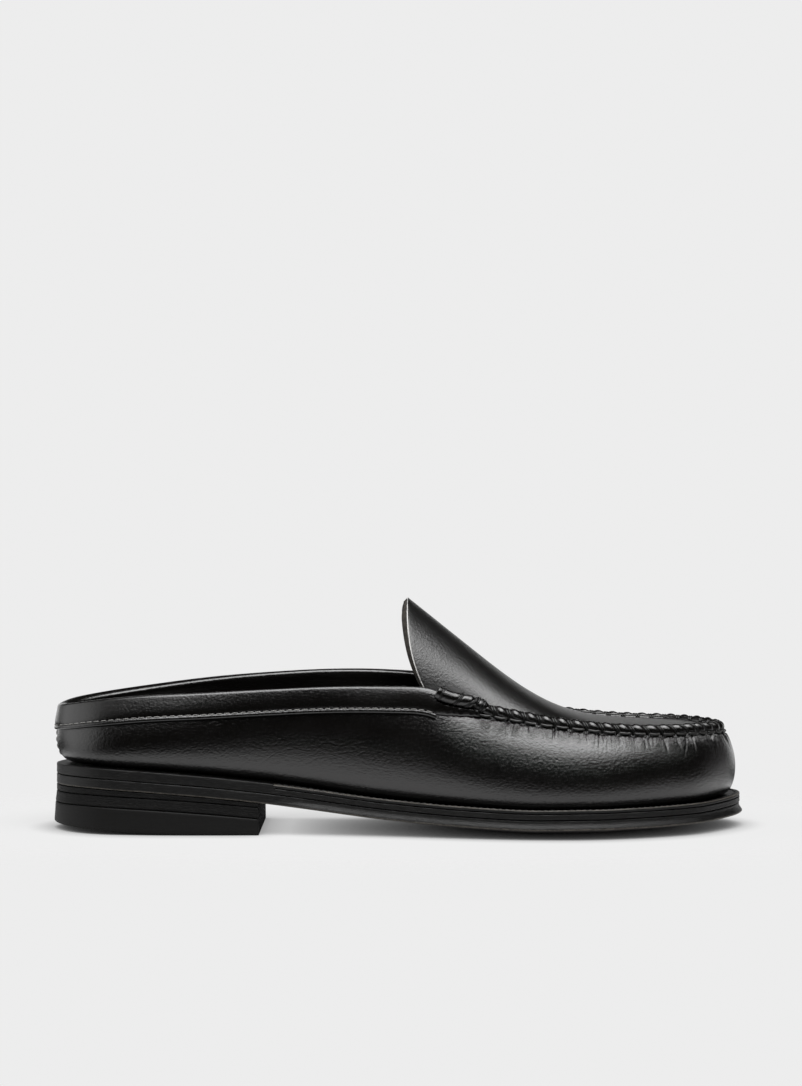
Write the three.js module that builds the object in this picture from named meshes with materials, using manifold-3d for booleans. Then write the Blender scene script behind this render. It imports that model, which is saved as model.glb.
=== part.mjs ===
// A loafer mule for the right foot: a low stacked heel, a welted leather sole, a wall of leather
// round the foot, and a plug over the toes that runs up into a tall tongue.
// +X points to the toe, +Y to the inner side of the foot, +Z up. Millimetres.
import * as THREE from 'three';
import Module from 'manifold-3d';

const wasm = await Module();
wasm.setup();

// Driving sizes
const length = 298.5;
const ballWidth = 104;
const heelRise = 19.4;
const edgeLift = 4;
const toeSpring = 1.9;
const flatDip = 1.6;
const collarHeight = 61;
const tongueHeight = 99;
const heelLength = 90;
const heelFlat = 28;
const rockerHeight = 2.9;

// Leather and rubber thicknesses
const gap = 0.3;
const outsoleThick = 4.2;
const midsoleThick = 2.3;
const weltThick = 1.6;
const insoleThick = 2.6;
const lowerLiftThick = 4.4;
const upperLiftFront = 1.5;
const upperLiftBack = 2.6;
const wall = 2.2;
const plugThick = 2.6;
const bandThick = 1.1;
const bandDrop = 9;
const bandInside = 7;
const bandClearance = 0.4;

// Edges, ledges and rolls
const lipFlare = 1.1;
const edgeHollow = 0.7;
const ledge = 7.6;
const wallBulge = 6;
const ridgeRadius = 2.5;
const seamRise = 0.5;
const allowance = 1.8;
const rollRadius = 3.05;
const rollTip = 2.3;
const rollOut = 1;
const throatTuck = 4.4;
const throatSink = 2;
const weltRun = 3;

// How forms bend: where the wall bulges most up its height, how full the bulge is and between which
// stations it takes on the toe's form, how the heel's rocker starts, how the plug leans towards its
// middle line, and how deep the seam ridge sits
const heelPeak = 0.3;
const toePeak = 0.5;
const heelFullness = 1.15;
const toeFullness = 0.62;
const toeFormStart = 8;
const toeFormEnd = 12;
const rockerPower = 1.2;
const crownPower = 2.6;
const ridgeDepth = 0.4;
const ridgeSink = 1.2;
const rollEnd = 0.85;
const bandCrest = 1.6;

// Stations from heel to toe. The sole's outline and the upper's top line are shares of length and
// half the ball width, the top line's heights are shares of collarHeight, and bulge is a share of
// wallBulge. Out is the little-toe side, in is the arch side.
const stationColumns = ['at', 'out', 'in', 'top', 'topOut', 'topIn', 'highOut', 'highIn', 'bulge'];
const stations = [
  [0.000, 0.000, 0.000, 0.0095, 0.000, 0.000, 0.836, 0.836, 0.77],
  [0.022, 0.360, 0.350, 0.0240, 0.235, 0.230, 0.849, 0.862, 0.78],
  [0.067, 0.575, 0.570, 0.0670, 0.415, 0.410, 0.884, 0.897, 0.82],
  [0.134, 0.650, 0.645, 0.1340, 0.525, 0.520, 0.921, 0.941, 0.85],
  [0.225, 0.660, 0.630, 0.2250, 0.575, 0.570, 0.946, 0.995, 0.85],
  [0.315, 0.650, 0.575, 0.3150, 0.600, 0.590, 0.972, 1.030, 0.80],
  [0.400, 0.675, 0.545, 0.4000, 0.635, 0.615, 0.992, 1.049, 0.80],
  [0.480, 0.750, 0.590, 0.4800, 0.675, 0.655, 0.996, 1.043, 0.85],
  [0.540, 0.830, 0.675, 0.5400, 0.695, 0.675, 0.980, 1.010, 0.95],
  [0.575, 0.880, 0.745, 0.5680, 0.695, 0.680, 0.921, 0.941, 1.02],
  [0.630, 0.945, 0.855, 0.6250, 0.675, 0.660, 0.869, 0.873, 1.12],
  [0.700, 0.995, 0.945, 0.6950, 0.678, 0.640, 0.803, 0.803, 1.20],
  [0.770, 0.985, 0.980, 0.7650, 0.675, 0.655, 0.756, 0.756, 1.25],
  [0.830, 0.895, 0.960, 0.8250, 0.625, 0.665, 0.730, 0.730, 1.25],
  [0.880, 0.765, 0.900, 0.8700, 0.535, 0.665, 0.721, 0.721, 1.20],
  [0.925, 0.595, 0.795, 0.9080, 0.390, 0.610, 0.718, 0.718, 1.12],
  [0.965, 0.320, 0.600, 0.9400, 0.180, 0.480, 0.713, 0.713, 1.05],
  [0.990, 0.080, 0.430, 0.9570, 0.020, 0.355, 0.706, 0.706, 1.00],
  [1.000, -0.185, 0.185, 0.9650, -0.180, 0.180, 0.700, 0.700, 0.98],
].map((row) => Object.fromEntries(stationColumns.map((name, i) => [name, row[i]])));

// The sole's upper edge line: shares of heelRise and toeSpring over the flat part of the sole
const edgeLine = [
  { at: 0.000, heel: 0.987, toe: 0 },
  { at: 0.040, heel: 1.000, toe: 0 },
  { at: 0.120, heel: 0.929, toe: 0 },
  { at: 0.220, heel: 0.779, toe: 0 },
  { at: 0.310, heel: 0.597, toe: 0 },
  { at: 0.360, heel: 0.480, toe: 0 },
  { at: 0.470, heel: 0.227, toe: 0 },
  { at: 0.585, heel: 0.071, toe: 0 },
  { at: 0.695, heel: 0.000, toe: 0 },
  { at: 0.800, heel: 0.000, toe: 0.2 },
  { at: 0.930, heel: 0.000, toe: 0.5 },
  { at: 1.000, heel: 0.000, toe: 1 },
];

// The plug's middle line by station number: its place as a share of length, its height between
// the toe seam and the tongue's peak, and how far its section is a full arch
const crownLine = [
  { row: 8.6, at: 0.512, high: 1.000, arch: 1 },
  { row: 8.8, at: 0.543, high: 0.872, arch: 1 },
  { row: 9, at: 0.575, high: 0.735, arch: 1 },
  { row: 9.5, at: 0.603, high: 0.612, arch: 1 },
  { row: 10, at: 0.632, high: 0.495, arch: 0.95 },
  { row: 10.5, at: 0.667, high: 0.337, arch: 0.85 },
  { row: 11, at: 0.704, high: 0.222, arch: 0.65 },
  { row: 11.5, at: 0.737, high: 0.138, arch: 0.4 },
  { row: 12, at: 0.770, high: 0.092, arch: 0.25 },
  { row: 13, at: 0.826, high: 0.057, arch: 0.15 },
  { row: 15, at: 0.908, high: 0.036, arch: 0.1 },
  { row: 18, at: 0.965, high: 0.000, arch: 0.1 },
];

const lastRow = stations.length - 1;
const loopRows = 2 * lastRow;
const halfBall = ballWidth / 2;
const soleStack = outsoleThick + midsoleThick + weltThick + 2 * gap;
const rowStep = 0.4;
const throatRow = 8.4;
const tongueRow = 8.6;
const seamRow = 9.85;
const seamBlend = 0.3;
const sampleStep = 0.02;
const mergeWithin = 0.01;

// How many steps each surface takes
const soleSteps = 38;
const liftSteps = 14;
const insoleSteps = 28;
const weltSteps = 50;
const plugSteps = 24;
const plugStrips = 10;
const seamSteps = 52;
const rollSteps = 10;

// A smooth curve through a table's rows that never overshoots them
function tableCurve(rows, key, value) {
  const xs = rows.map((row) => row[key]);
  const ys = rows.map((row) => row[value]);
  const steps = xs.slice(1).map((x, i) => (ys[i + 1] - ys[i]) / (x - xs[i]));
  const slopes = xs.map((x, i) => {
    if (i === 0) return steps[0];
    if (i === xs.length - 1) return steps[i - 1];
    const [before, after] = [steps[i - 1], steps[i]];
    return before * after <= 0 ? 0 : 2 * before * after / (before + after);
  });
  return (x) => {
    const inside = Math.min(Math.max(x, xs[0]), xs[xs.length - 1]);
    const i = Math.min(xs.findLastIndex((known) => known <= inside), xs.length - 2);
    const width = xs[i + 1] - xs[i];
    const t = (inside - xs[i]) / width;
    const rise = (1 + 2 * t) * (1 - t) ** 2 * ys[i] + t * t * (3 - 2 * t) * ys[i + 1];
    return rise + width * (t * (1 - t) ** 2 * slopes[i] - t * t * (1 - t) * slopes[i + 1]);
  };
}

const mix = (a, b, t) => a + (b - a) * t;
const ease = (x, from, to) => {
  const t = Math.min(Math.max((x - from) / (to - from), 0), 1);
  return t * t * (3 - 2 * t);
};
const range = (from, to, count) => Array.from({ length: count + 1 }, (_, i) => mix(from, to, i / count));

// Closed loops round the shoe: out side from heel to toe, then the arch side back to the heel
function loop(outPoint, inPoint) {
  const outSide = stations.map(outPoint);
  const inSide = stations.slice(1, -1).map(inPoint).reverse();
  const curve = new THREE.CatmullRomCurve3([...outSide, ...inSide], true, 'centripetal');
  return (row) => curve.getPoint((((row % loopRows) + loopRows) % loopRows) / loopRows);
}
const outline = loop(
  (s) => new THREE.Vector3(s.at * length, -s.out * halfBall, 0),
  (s) => new THREE.Vector3(s.at * length, s.in * halfBall, 0),
);
const topLine = loop(
  (s) => new THREE.Vector3(s.top * length, -s.topOut * halfBall, s.highOut * collarHeight),
  (s) => new THREE.Vector3(s.top * length, s.topIn * halfBall, s.highIn * collarHeight),
);
const stationRow = (row) => {
  const inLoop = ((row % loopRows) + loopRows) % loopRows;
  return inLoop > lastRow ? loopRows - inLoop : inLoop;
};
const numbered = stations.map((s, row) => ({ ...s, row }));
const bulgeAt = tableCurve(numbered, 'row', 'bulge');
const outAt = tableCurve(stations, 'at', 'out');
const inAt = tableCurve(stations, 'at', 'in');
const heelShare = tableCurve(edgeLine, 'at', 'heel');
const toeShare = tableCurve(edgeLine, 'at', 'toe');

// The sole's outline moved inwards by a distance in plan
function outlineIn(row, inset) {
  const along = outline(row + sampleStep).sub(outline(row - sampleStep)).normalize();
  return outline(row).add(new THREE.Vector3(-along.y, along.x, 0).multiplyScalar(inset));
}

// Heights of the sole: its upper edge line, the drop towards the middle, and each layer below
function edgeTop(x) {
  const at = x / length;
  const rise = edgeLift + (heelRise - edgeLift) * heelShare(at) + toeSpring * toeShare(at);
  return soleStack + rise;
}
function middleDrop(x, y) {
  const at = x / length;
  const halfWidth = halfBall * (outAt(at) + inAt(at)) / 2;
  const middle = halfBall * (inAt(at) - outAt(at)) / 2;
  const camber = (edgeLift + flatDip) * ease(x, heelLength, heelLength + halfBall);
  return camber * Math.max(0, halfWidth ** 2 - (y - middle) ** 2) / halfBall ** 2;
}
const soleHeight = (x, y, below) => edgeTop(x) - below - middleDrop(x, y);
const outsoleBottom = (x, y) => Math.max(0, soleHeight(x, y, soleStack));
const upperLiftTop = (x) => edgeTop(x) - soleStack - gap;
const upperLiftBottom = (x) => upperLiftTop(x) - mix(upperLiftBack, upperLiftFront, x / heelLength);
const lowerLiftTop = (x) => upperLiftBottom(x) - gap;
const lowerLiftBottom = (x) => lowerLiftTop(x) - lowerLiftThick;
const topLiftTop = (x) => lowerLiftBottom(x) - gap;
const heelFloor = (x) => rockerHeight * Math.max(0, 1 - x / (heelLength - heelFlat)) ** rockerPower;

// A closed surface from two matching grids of points, the front one and the back one
function shell(front, back, round = false) {
  const rows = front.length;
  const across = front[0].length;
  const points = [...front.flat(), ...back.flat()];
  const seen = new Map();
  const positions = [];
  const index = points.map((point) => {
    const key = point.toArray().map((value) => Math.round(value * 1e3)).join();
    if (!seen.has(key)) {
      seen.set(key, positions.length / 3);
      positions.push(point.x, point.y, point.z);
    }
    return seen.get(key);
  });
  const frontAt = (i, j) => index[(i % rows) * across + j];
  const backAt = (i, j) => index[(rows + (i % rows)) * across + j];
  const faces = [];
  const quad = (a, b, c, d) => {
    [[a, b, c], [a, c, d]].forEach(([p, q, r]) => {
      if (p !== q && q !== r && r !== p) faces.push(p, q, r);
    });
  };
  const spans = round ? rows : rows - 1;
  for (let i = 0; i < spans; i += 1) {
    for (let j = 0; j < across - 1; j += 1) {
      quad(frontAt(i, j), frontAt(i + 1, j), frontAt(i + 1, j + 1), frontAt(i, j + 1));
      quad(backAt(i, j), backAt(i, j + 1), backAt(i + 1, j + 1), backAt(i + 1, j));
    }
    quad(frontAt(i, 0), backAt(i, 0), backAt(i + 1, 0), frontAt(i + 1, 0));
    const last = across - 1;
    quad(frontAt(i, last), frontAt(i + 1, last), backAt(i + 1, last), backAt(i, last));
  }
  if (!round) {
    const end = rows - 1;
    for (let j = 0; j < across - 1; j += 1) {
      quad(frontAt(0, j), frontAt(0, j + 1), backAt(0, j + 1), backAt(0, j));
      quad(frontAt(end, j), backAt(end, j), backAt(end, j + 1), frontAt(end, j + 1));
    }
  }
  return outward(positions, faces);
}

// Turns the faces over when they point inwards
function outward(positions, faces) {
  const corner = (k) => new THREE.Vector3().fromArray(positions, 3 * faces[k]);
  let volume = 0;
  for (let k = 0; k < faces.length; k += 3) {
    volume += corner(k).dot(corner(k + 1).cross(corner(k + 2)));
  }
  return { positions, faces: volume < 0 ? faces.reverse() : faces };
}

const leather = (color, roughness) => new THREE.MeshStandardMaterial({ color, roughness, metalness: 0 });
const blackCalf = leather(0x141414, 0.36);
const soleLeather = leather(0x1b1a19, 0.42);
const heelRubber = leather(0x1a1a1a, 0.6);
const sockLeather = leather(0x1d1b1a, 0.55);

function mesh(name, surface, material) {
  const geometry = new THREE.BufferGeometry();
  geometry.setAttribute('position', new THREE.Float32BufferAttribute(surface.positions, 3));
  geometry.setIndex(surface.faces);
  geometry.computeVertexNormals();
  const piece = new THREE.Mesh(geometry, material);
  piece.name = name;
  return piece;
}

// Shares of the way across a layer, closer together under the welt
const acrossShares = [0, 0.12, 0.31, 0.5, 0.69, 0.88, 1];

// A flat layer between two heights, from one station to another, with its own side edge
function layer({ from, to, steps, also = [], topInset, bottomInset, hollow = 0, top, bottom }) {
  const sides = (row, inset) => [outlineIn(row, inset), outlineIn(loopRows - row, inset)];
  const strip = (row, inset, height) => {
    const [out, inner] = sides(row, inset);
    return acrossShares.map((share) => {
      const point = out.clone().lerp(inner, share);
      return point.setZ(height(point.x, point.y));
    });
  };
  const front = [];
  const back = [];
  [...range(from, to, steps), ...also].sort((a, b) => a - b).forEach((row) => {
    const above = strip(row, topInset(row), top);
    const below = strip(row, bottomInset(row), bottom);
    const edges = [0, acrossShares.length - 1]
      .map((end) => above[end].clone().lerp(below[end], 0.5));
    const middle = edges[0].clone().lerp(edges[1], 0.5);
    edges.forEach((edge) => {
      const inwards = middle.clone().sub(edge).setZ(0);
      if (inwards.length() > hollow) edge.add(inwards.setLength(hollow));
    });
    front.push([edges[0], ...above, edges[1]]);
    back.push([edges[0], ...below, edges[1]]);
  });
  return shell(front, back);
}

// Where a straight line across the shoe meets the outline, as a station number
function rowAt(x) {
  let [low, high] = [0, lastRow];
  while (high - low > 1e-6) {
    const middle = (low + high) / 2;
    if (outline(middle).x < x) low = middle;
    else high = middle;
  }
  return low;
}
const breastRow = rowAt(heelLength);
const stepRows = [0, 1, 2].map((step) => rowAt(heelLength + step * weltRun));

const lipInset = (row) => lipFlare * (1 - ease(row, breastRow, breastRow + 1));
const sideInset = () => lipFlare;

function outsole() {
  return layer({
    from: 0, to: lastRow, steps: soleSteps,
    topInset: sideInset, bottomInset: lipInset, hollow: edgeHollow,
    top: (x, y) => soleHeight(x, y, soleStack - outsoleThick),
    bottom: outsoleBottom,
  });
}

// The midsole steps up behind the breast, where it fills the welt's height and makes the seat
function midsole() {
  const frontTop = weltThick + gap;
  return layer({
    from: 0, to: lastRow, steps: soleSteps, also: stepRows,
    topInset: sideInset, bottomInset: sideInset,
    top: (x, y) => soleHeight(x, y, frontTop * ease(x, heelLength, heelLength + weltRun)),
    bottom: (x, y) => soleHeight(x, y, frontTop + midsoleThick),
  });
}

function heelLift(top, bottom, topInset, bottomInset) {
  return layer({
    from: 0, to: breastRow, steps: liftSteps,
    topInset: () => topInset, bottomInset: () => bottomInset, top, bottom,
  });
}

// The foot bed fills the shoe inside the welt and the wall's lower edge
function insole() {
  const inset = () => ledge + wall + 2 * gap;
  const under = weltThick + gap;
  return layer({
    from: 0, to: lastRow, steps: insoleSteps, also: stepRows,
    topInset: inset, bottomInset: inset,
    top: (x, y) => soleHeight(x, y, -gap - insoleThick),
    bottom: (x, y) => soleHeight(x, y, under * ease(x, heelLength + weltRun, heelLength + 2 * weltRun) - gap),
  });
}

// The welt runs from the breast round the toe, under the wall's lower edge
function welt() {
  const start = rowAt(heelLength + 2 * weltRun);
  const insets = [lipFlare, (ledge + lipFlare) / 2, ledge, ledge + wall + gap];
  const strips = (below) => range(start, loopRows - start, weltSteps).map((row) => insets.map((inset) => {
    const point = outlineIn(row, inset);
    return point.setZ(soleHeight(point.x, point.y, below));
  }));
  return shell(strips(0), strips(weltThick));
}

// The wall of the upper: a point at station row and share v of the way up, and its outward normal
function wallSkin(row, v) {
  const foot = outlineIn(row, ledge);
  foot.z = soleHeight(foot.x, foot.y, 0) + gap;
  const top = topLine(row);
  const share = mix(stationRow(row) / lastRow, 1, ease(stationRow(row), toeFormStart, toeFormEnd));
  const peak = mix(heelPeak, toePeak, share);
  const fullness = mix(heelFullness, toeFullness, share);
  const bent = v ** (Math.log(0.5) / Math.log(peak));
  const swell = Math.max(0, 4 * bent * (1 - bent)) ** fullness;
  const along = outline(row + sampleStep).sub(outline(row - sampleStep)).normalize();
  const outwards = new THREE.Vector3(along.y, -along.x, 0);
  return foot.lerp(top, v).addScaledVector(outwards, wallBulge * bulgeAt(stationRow(row)) * swell);
}
function wallNormal(row, v) {
  const along = wallSkin(row + sampleStep, v).sub(wallSkin(row - sampleStep, v));
  const above = Math.min(v + sampleStep, 1);
  const below = Math.max(v - sampleStep, 0);
  const up = wallSkin(row, above).sub(wallSkin(row, below));
  return along.cross(up).normalize();
}
const wallPoint = (row, v, depth) => wallSkin(row, v).addScaledVector(wallNormal(row, v), -depth);

function wallShell() {
  const heights = [0, 0.06, 0.15, 0.28, 0.46, 0.65, 0.83, 1];
  const grid = (depth) => range(0, loopRows, loopRows / rowStep).slice(0, -1)
    .map((row) => heights.map((v) => wallPoint(row, v, depth)));
  return shell(grid(0), grid(wall), true);
}

// The plug and tongue: sections across the shoe between the two seams, from the tongue's edge
const crownAt = tableCurve(crownLine, 'row', 'at');
const crownHigh = tableCurve(crownLine, 'row', 'high');
const archAt = tableCurve(crownLine, 'row', 'arch');

// At the throat the plug's edge passes inside the wall, which leaves room for the rolls
function plugEdge(row) {
  const tucked = 1 - ease(stationRow(row), seamRow - 2 * seamBlend, seamRow + seamBlend);
  const edge = wallPoint(row, 1, throatTuck * tucked);
  return edge.setZ(edge.z - throatSink * tucked);
}

function plugSkin(row, across) {
  const out = plugEdge(row);
  const inner = plugEdge(loopRows - row);
  const middle = out.clone().lerp(inner, 0.5);
  const toeTop = topLine(lastRow).z;
  const crownX = crownAt(row) * length;
  const crownZ = Math.max(middle.z, mix(toeTop, tongueHeight, crownHigh(row)));
  const arch = archAt(row);
  const turn = across * Math.PI / 2;
  const side = mix(across, Math.sin(turn), arch);
  const rise = mix(1 - across ** 2, Math.max(0, Math.cos(turn)), arch);
  const forward = 1 - (1 - rise) ** crownPower;
  const point = middle.clone().add(inner.clone().sub(middle).multiplyScalar(side));
  point.x += (crownX - middle.x) * forward;
  point.z += (crownZ - middle.z) * rise;
  return point;
}
function plugShell() {
  const rows = range(tongueRow, lastRow, plugSteps);
  const shares = range(-1, 1, plugStrips);
  const skin = rows.map((row) => shares.map((share) => plugSkin(row, share)));
  const normal = (i, j) => {
    const along = skin[Math.min(i + 1, rows.length - 1)][j].clone().sub(skin[Math.max(i - 1, 0)][j]);
    const last = shares.length - 1;
    const side = skin[i][Math.min(j + 1, last)].clone().sub(skin[i][Math.max(j - 1, 0)]);
    if (along.length() < 1e-6 || side.length() < 1e-6) return new THREE.Vector3(0, 0, 1);
    return along.cross(side).normalize();
  };
  const under = skin.map((strip, i) => strip.map((point, j) => (
    point.clone().addScaledVector(normal(i, j), -plugThick))));
  return shell(skin, under);
}

// A round cord along a line of points, pointed or blunt at its ends
function cordAlong(centres, radii, sides = 8) {
  const half = sides / 2;
  const ring = (i, turn) => {
    const ahead = centres[Math.min(i + 1, centres.length - 1)];
    const behind = centres[Math.max(i - 1, 0)];
    const along = ahead.clone().sub(behind).normalize();
    const side = new THREE.Vector3(along.y, -along.x, 0).normalize();
    const up = side.clone().cross(along);
    return centres[i].clone()
      .addScaledVector(side, radii[i] * Math.cos(turn))
      .addScaledVector(up, radii[i] * Math.sin(turn));
  };
  const arc = (from, to) => centres.map((_, i) => range(from, to, half).map((turn) => ring(i, turn)));
  return shell(arc(0, Math.PI), arc(0, -Math.PI));
}

// The raised seam covers the joint of wall and plug, and is slimmer under the throat rolls
function seamRidge() {
  const start = tongueRow + rowStep / 4;
  const rows = range(start, loopRows - start, seamSteps);
  const full = (row) => ease(stationRow(row), seamRow - seamBlend, seamRow + seamBlend);
  const radii = rows.map((row) => mix(allowance, ridgeRadius, full(row)));
  const centres = rows.map((row, i) => {
    const depth = mix(throatTuck - rollOut, radii[i] * ridgeDepth, full(row));
    const sunk = mix(-ridgeSink * radii[i], seamRise, full(row));
    return wallPoint(row, 1, depth).add(new THREE.Vector3(0, 0, sunk));
  });
  return cordAlong(centres, radii);
}

function joined(surfaces) {
  const solids = surfaces.map(({ positions, faces }) => new wasm.Manifold(new wasm.Mesh({
    numProp: 3, vertProperties: new Float32Array(positions), triVerts: new Uint32Array(faces),
  })));
  const whole = solids.slice(1).reduce((sum, solid) => sum.add(solid), solids[0]);
  const result = whole.simplify(mergeWithin).getMesh();
  return { positions: Array.from(result.vertProperties), faces: Array.from(result.triVerts) };
}

// The folded collar band: a U over the wall's top edge, clear of it all round
function collarBand() {
  const rows = range(-throatRow, throatRow, Math.round(2 * throatRow / rowStep));
  const frame = (row) => {
    const top = wallSkin(row, 1);
    const foot = wallSkin(row, 0);
    const span = top.distanceTo(foot);
    const up = wallSkin(row, 1).sub(wallSkin(row, 1 - sampleStep)).normalize();
    return { span, up, out: wallNormal(row, 1) };
  };
  const path = (row, spread) => {
    const { span, up, out } = frame(row);
    const outside = [bandDrop, bandDrop / 2, 0]
      .map((drop) => wallPoint(row, 1 - drop / span, -spread));
    const crest = wallSkin(row, 1).addScaledVector(out, -wall / 2).addScaledVector(up, spread * bandCrest);
    const inside = [0, bandInside / 2, bandInside]
      .map((drop) => wallPoint(row, 1 - drop / span, wall + spread));
    return [...outside, crest, ...inside];
  };
  const grid = (spread) => rows.map((row) => path(row, spread));
  return shell(grid(bandClearance + bandThick), grid(bandClearance));
}

// The throat rolls lie on the wall's top edge between the collar band and the raised seam
function throatRoll(side) {
  const rows = range(throatRow + rowStep / 3, seamRow - rowStep / 4, rollSteps);
  const radii = rows.map((row, i) => {
    const share = i % rollSteps === 0 ? rollEnd : 1;
    return mix(rollRadius, rollTip, i / rollSteps) * share;
  });
  const centres = rows.map((row, i) => (
    wallPoint(side * row, 1, -rollOut).add(new THREE.Vector3(0, 0, radii[i] + 2 * gap))));
  return cordAlong(centres, radii);
}

const pieces = [
  mesh('outsole', outsole(), soleLeather),
  mesh('midsole', midsole(), soleLeather),
  mesh('welt', welt(), soleLeather),
  mesh('heel_lift_upper', heelLift(upperLiftTop, upperLiftBottom, lipFlare, lipFlare), soleLeather),
  mesh('heel_lift_lower', heelLift(lowerLiftTop, lowerLiftBottom, lipFlare, lipFlare / 2), soleLeather),
  mesh('heel_top_lift', heelLift(topLiftTop, heelFloor, lipFlare / 2, 0), heelRubber),
  mesh('insole', insole(), sockLeather),
  mesh('upper', joined([wallShell(), plugShell(), seamRidge()]), blackCalf),
  mesh('collar_band', collarBand(), blackCalf),
  mesh('throat_roll_lateral', throatRoll(1), blackCalf),
  mesh('throat_roll_medial', throatRoll(-1), blackCalf),
];

// The shoe stands on the floor with the middle of its box over the origin
const shoe = new THREE.Group();
shoe.add(...pieces);
const box = new THREE.Box3().setFromObject(shoe);
shoe.position.set(-(box.min.x + box.max.x) / 2, -(box.min.y + box.max.y) / 2, -box.min.z);
shoe.updateMatrixWorld(true);

export default shoe;
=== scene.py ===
import math
import random

import bpy
import bmesh
import numpy as np
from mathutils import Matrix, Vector


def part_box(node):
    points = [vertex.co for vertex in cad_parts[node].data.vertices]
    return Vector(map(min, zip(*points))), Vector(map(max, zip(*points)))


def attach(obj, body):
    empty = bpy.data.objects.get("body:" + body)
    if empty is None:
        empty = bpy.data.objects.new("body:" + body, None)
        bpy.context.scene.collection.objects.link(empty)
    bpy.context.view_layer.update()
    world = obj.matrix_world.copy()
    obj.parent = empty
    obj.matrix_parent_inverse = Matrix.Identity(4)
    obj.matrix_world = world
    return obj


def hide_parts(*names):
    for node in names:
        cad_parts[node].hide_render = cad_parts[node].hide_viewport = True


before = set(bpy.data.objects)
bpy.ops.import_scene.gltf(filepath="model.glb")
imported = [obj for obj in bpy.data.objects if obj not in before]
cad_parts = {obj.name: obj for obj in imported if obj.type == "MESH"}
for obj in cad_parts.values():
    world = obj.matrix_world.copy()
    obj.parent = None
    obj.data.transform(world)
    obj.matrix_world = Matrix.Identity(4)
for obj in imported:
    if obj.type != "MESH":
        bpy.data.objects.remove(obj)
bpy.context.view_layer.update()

mm = 0.001

# The shoe's own sizes in millimetres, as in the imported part. X runs to the toe, Y to the inner
# side of the foot. Row numbers count the stations: 0 is the heel's middle, 18 the toe's tip.
shoe = {
    "length": 298.5, "ballWidth": 104, "heelRise": 19.4, "edgeLift": 4, "toeSpring": 1.9,
    "flatDip": 1.6, "collarHeight": 61, "tongueHeight": 99, "heelLength": 90, "heelFlat": 28,
    "rockerHeight": 2.9, "rockerPower": 1.2, "gap": 0.3, "outsoleThick": 4.2,
    "midsoleThick": 2.3, "weltThick": 1.6, "insoleThick": 2.6, "lowerLiftThick": 4.4,
    "upperLiftFront": 1.5, "upperLiftBack": 2.6, "wall": 2.2, "plugThick": 2.6, "lipFlare": 1.1,
    "ledge": 7.6, "wallBulge": 6, "weltRun": 3, "heelPeak": 0.3, "toePeak": 0.5,
    "heelFullness": 1.15, "toeFullness": 0.62, "toeForm": (8, 12), "crownPower": 2.6, "throatTuck": 4.4,
    "throatSink": 2, "throatRow": 8.4, "tongueRow": 8.6, "seamRow": 9.85, "seamBlend": 0.3,
}

stationNames = ["at", "out", "in", "top", "topOut", "topIn", "highOut", "highIn", "bulge"]
stationRows = [
    [0.000, 0.000, 0.000, 0.0095, 0.000, 0.000, 0.836, 0.836, 0.77],
    [0.022, 0.360, 0.350, 0.0240, 0.235, 0.230, 0.849, 0.862, 0.78],
    [0.067, 0.575, 0.570, 0.0670, 0.415, 0.410, 0.884, 0.897, 0.82],
    [0.134, 0.650, 0.645, 0.1340, 0.525, 0.520, 0.921, 0.941, 0.85],
    [0.225, 0.660, 0.630, 0.2250, 0.575, 0.570, 0.946, 0.995, 0.85],
    [0.315, 0.650, 0.575, 0.3150, 0.600, 0.590, 0.972, 1.030, 0.80],
    [0.400, 0.675, 0.545, 0.4000, 0.635, 0.615, 0.992, 1.049, 0.80],
    [0.480, 0.750, 0.590, 0.4800, 0.675, 0.655, 0.996, 1.043, 0.85],
    [0.540, 0.830, 0.675, 0.5400, 0.695, 0.675, 0.980, 1.010, 0.95],
    [0.575, 0.880, 0.745, 0.5680, 0.695, 0.680, 0.921, 0.941, 1.02],
    [0.630, 0.945, 0.855, 0.6250, 0.675, 0.660, 0.869, 0.873, 1.12],
    [0.700, 0.995, 0.945, 0.6950, 0.678, 0.640, 0.803, 0.803, 1.20],
    [0.770, 0.985, 0.980, 0.7650, 0.675, 0.655, 0.756, 0.756, 1.25],
    [0.830, 0.895, 0.960, 0.8250, 0.625, 0.665, 0.730, 0.730, 1.25],
    [0.880, 0.765, 0.900, 0.8700, 0.535, 0.665, 0.721, 0.721, 1.20],
    [0.925, 0.595, 0.795, 0.9080, 0.390, 0.610, 0.718, 0.718, 1.12],
    [0.965, 0.320, 0.600, 0.9400, 0.180, 0.480, 0.713, 0.713, 1.05],
    [0.990, 0.080, 0.430, 0.9570, 0.020, 0.355, 0.706, 0.706, 1.00],
    [1.000, -0.185, 0.185, 0.9650, -0.180, 0.180, 0.700, 0.700, 0.98],
]
edgeNames = ["at", "heel", "toe"]
edgeRows = [
    [0.000, 0.987, 0], [0.040, 1.000, 0], [0.120, 0.929, 0], [0.220, 0.779, 0],
    [0.310, 0.597, 0], [0.360, 0.480, 0], [0.470, 0.227, 0], [0.585, 0.071, 0],
    [0.695, 0.000, 0], [0.800, 0.000, 0.2], [0.930, 0.000, 0.5], [1.000, 0.000, 1],
]
crownNames = ["row", "at", "high", "arch"]
crownRows = [
    [8.6, 0.512, 1.000, 1], [8.8, 0.543, 0.872, 1], [9, 0.575, 0.735, 1],
    [9.5, 0.603, 0.612, 1], [10, 0.632, 0.495, 0.95], [10.5, 0.667, 0.337, 0.85],
    [11, 0.704, 0.222, 0.65], [11.5, 0.737, 0.138, 0.4], [12, 0.770, 0.092, 0.25],
    [13, 0.826, 0.057, 0.15], [15, 0.908, 0.036, 0.1], [18, 0.965, 0.000, 0.1],
]


def columns(names, rows):
    return dict(zip(names, np.array(rows, float).T))


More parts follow.
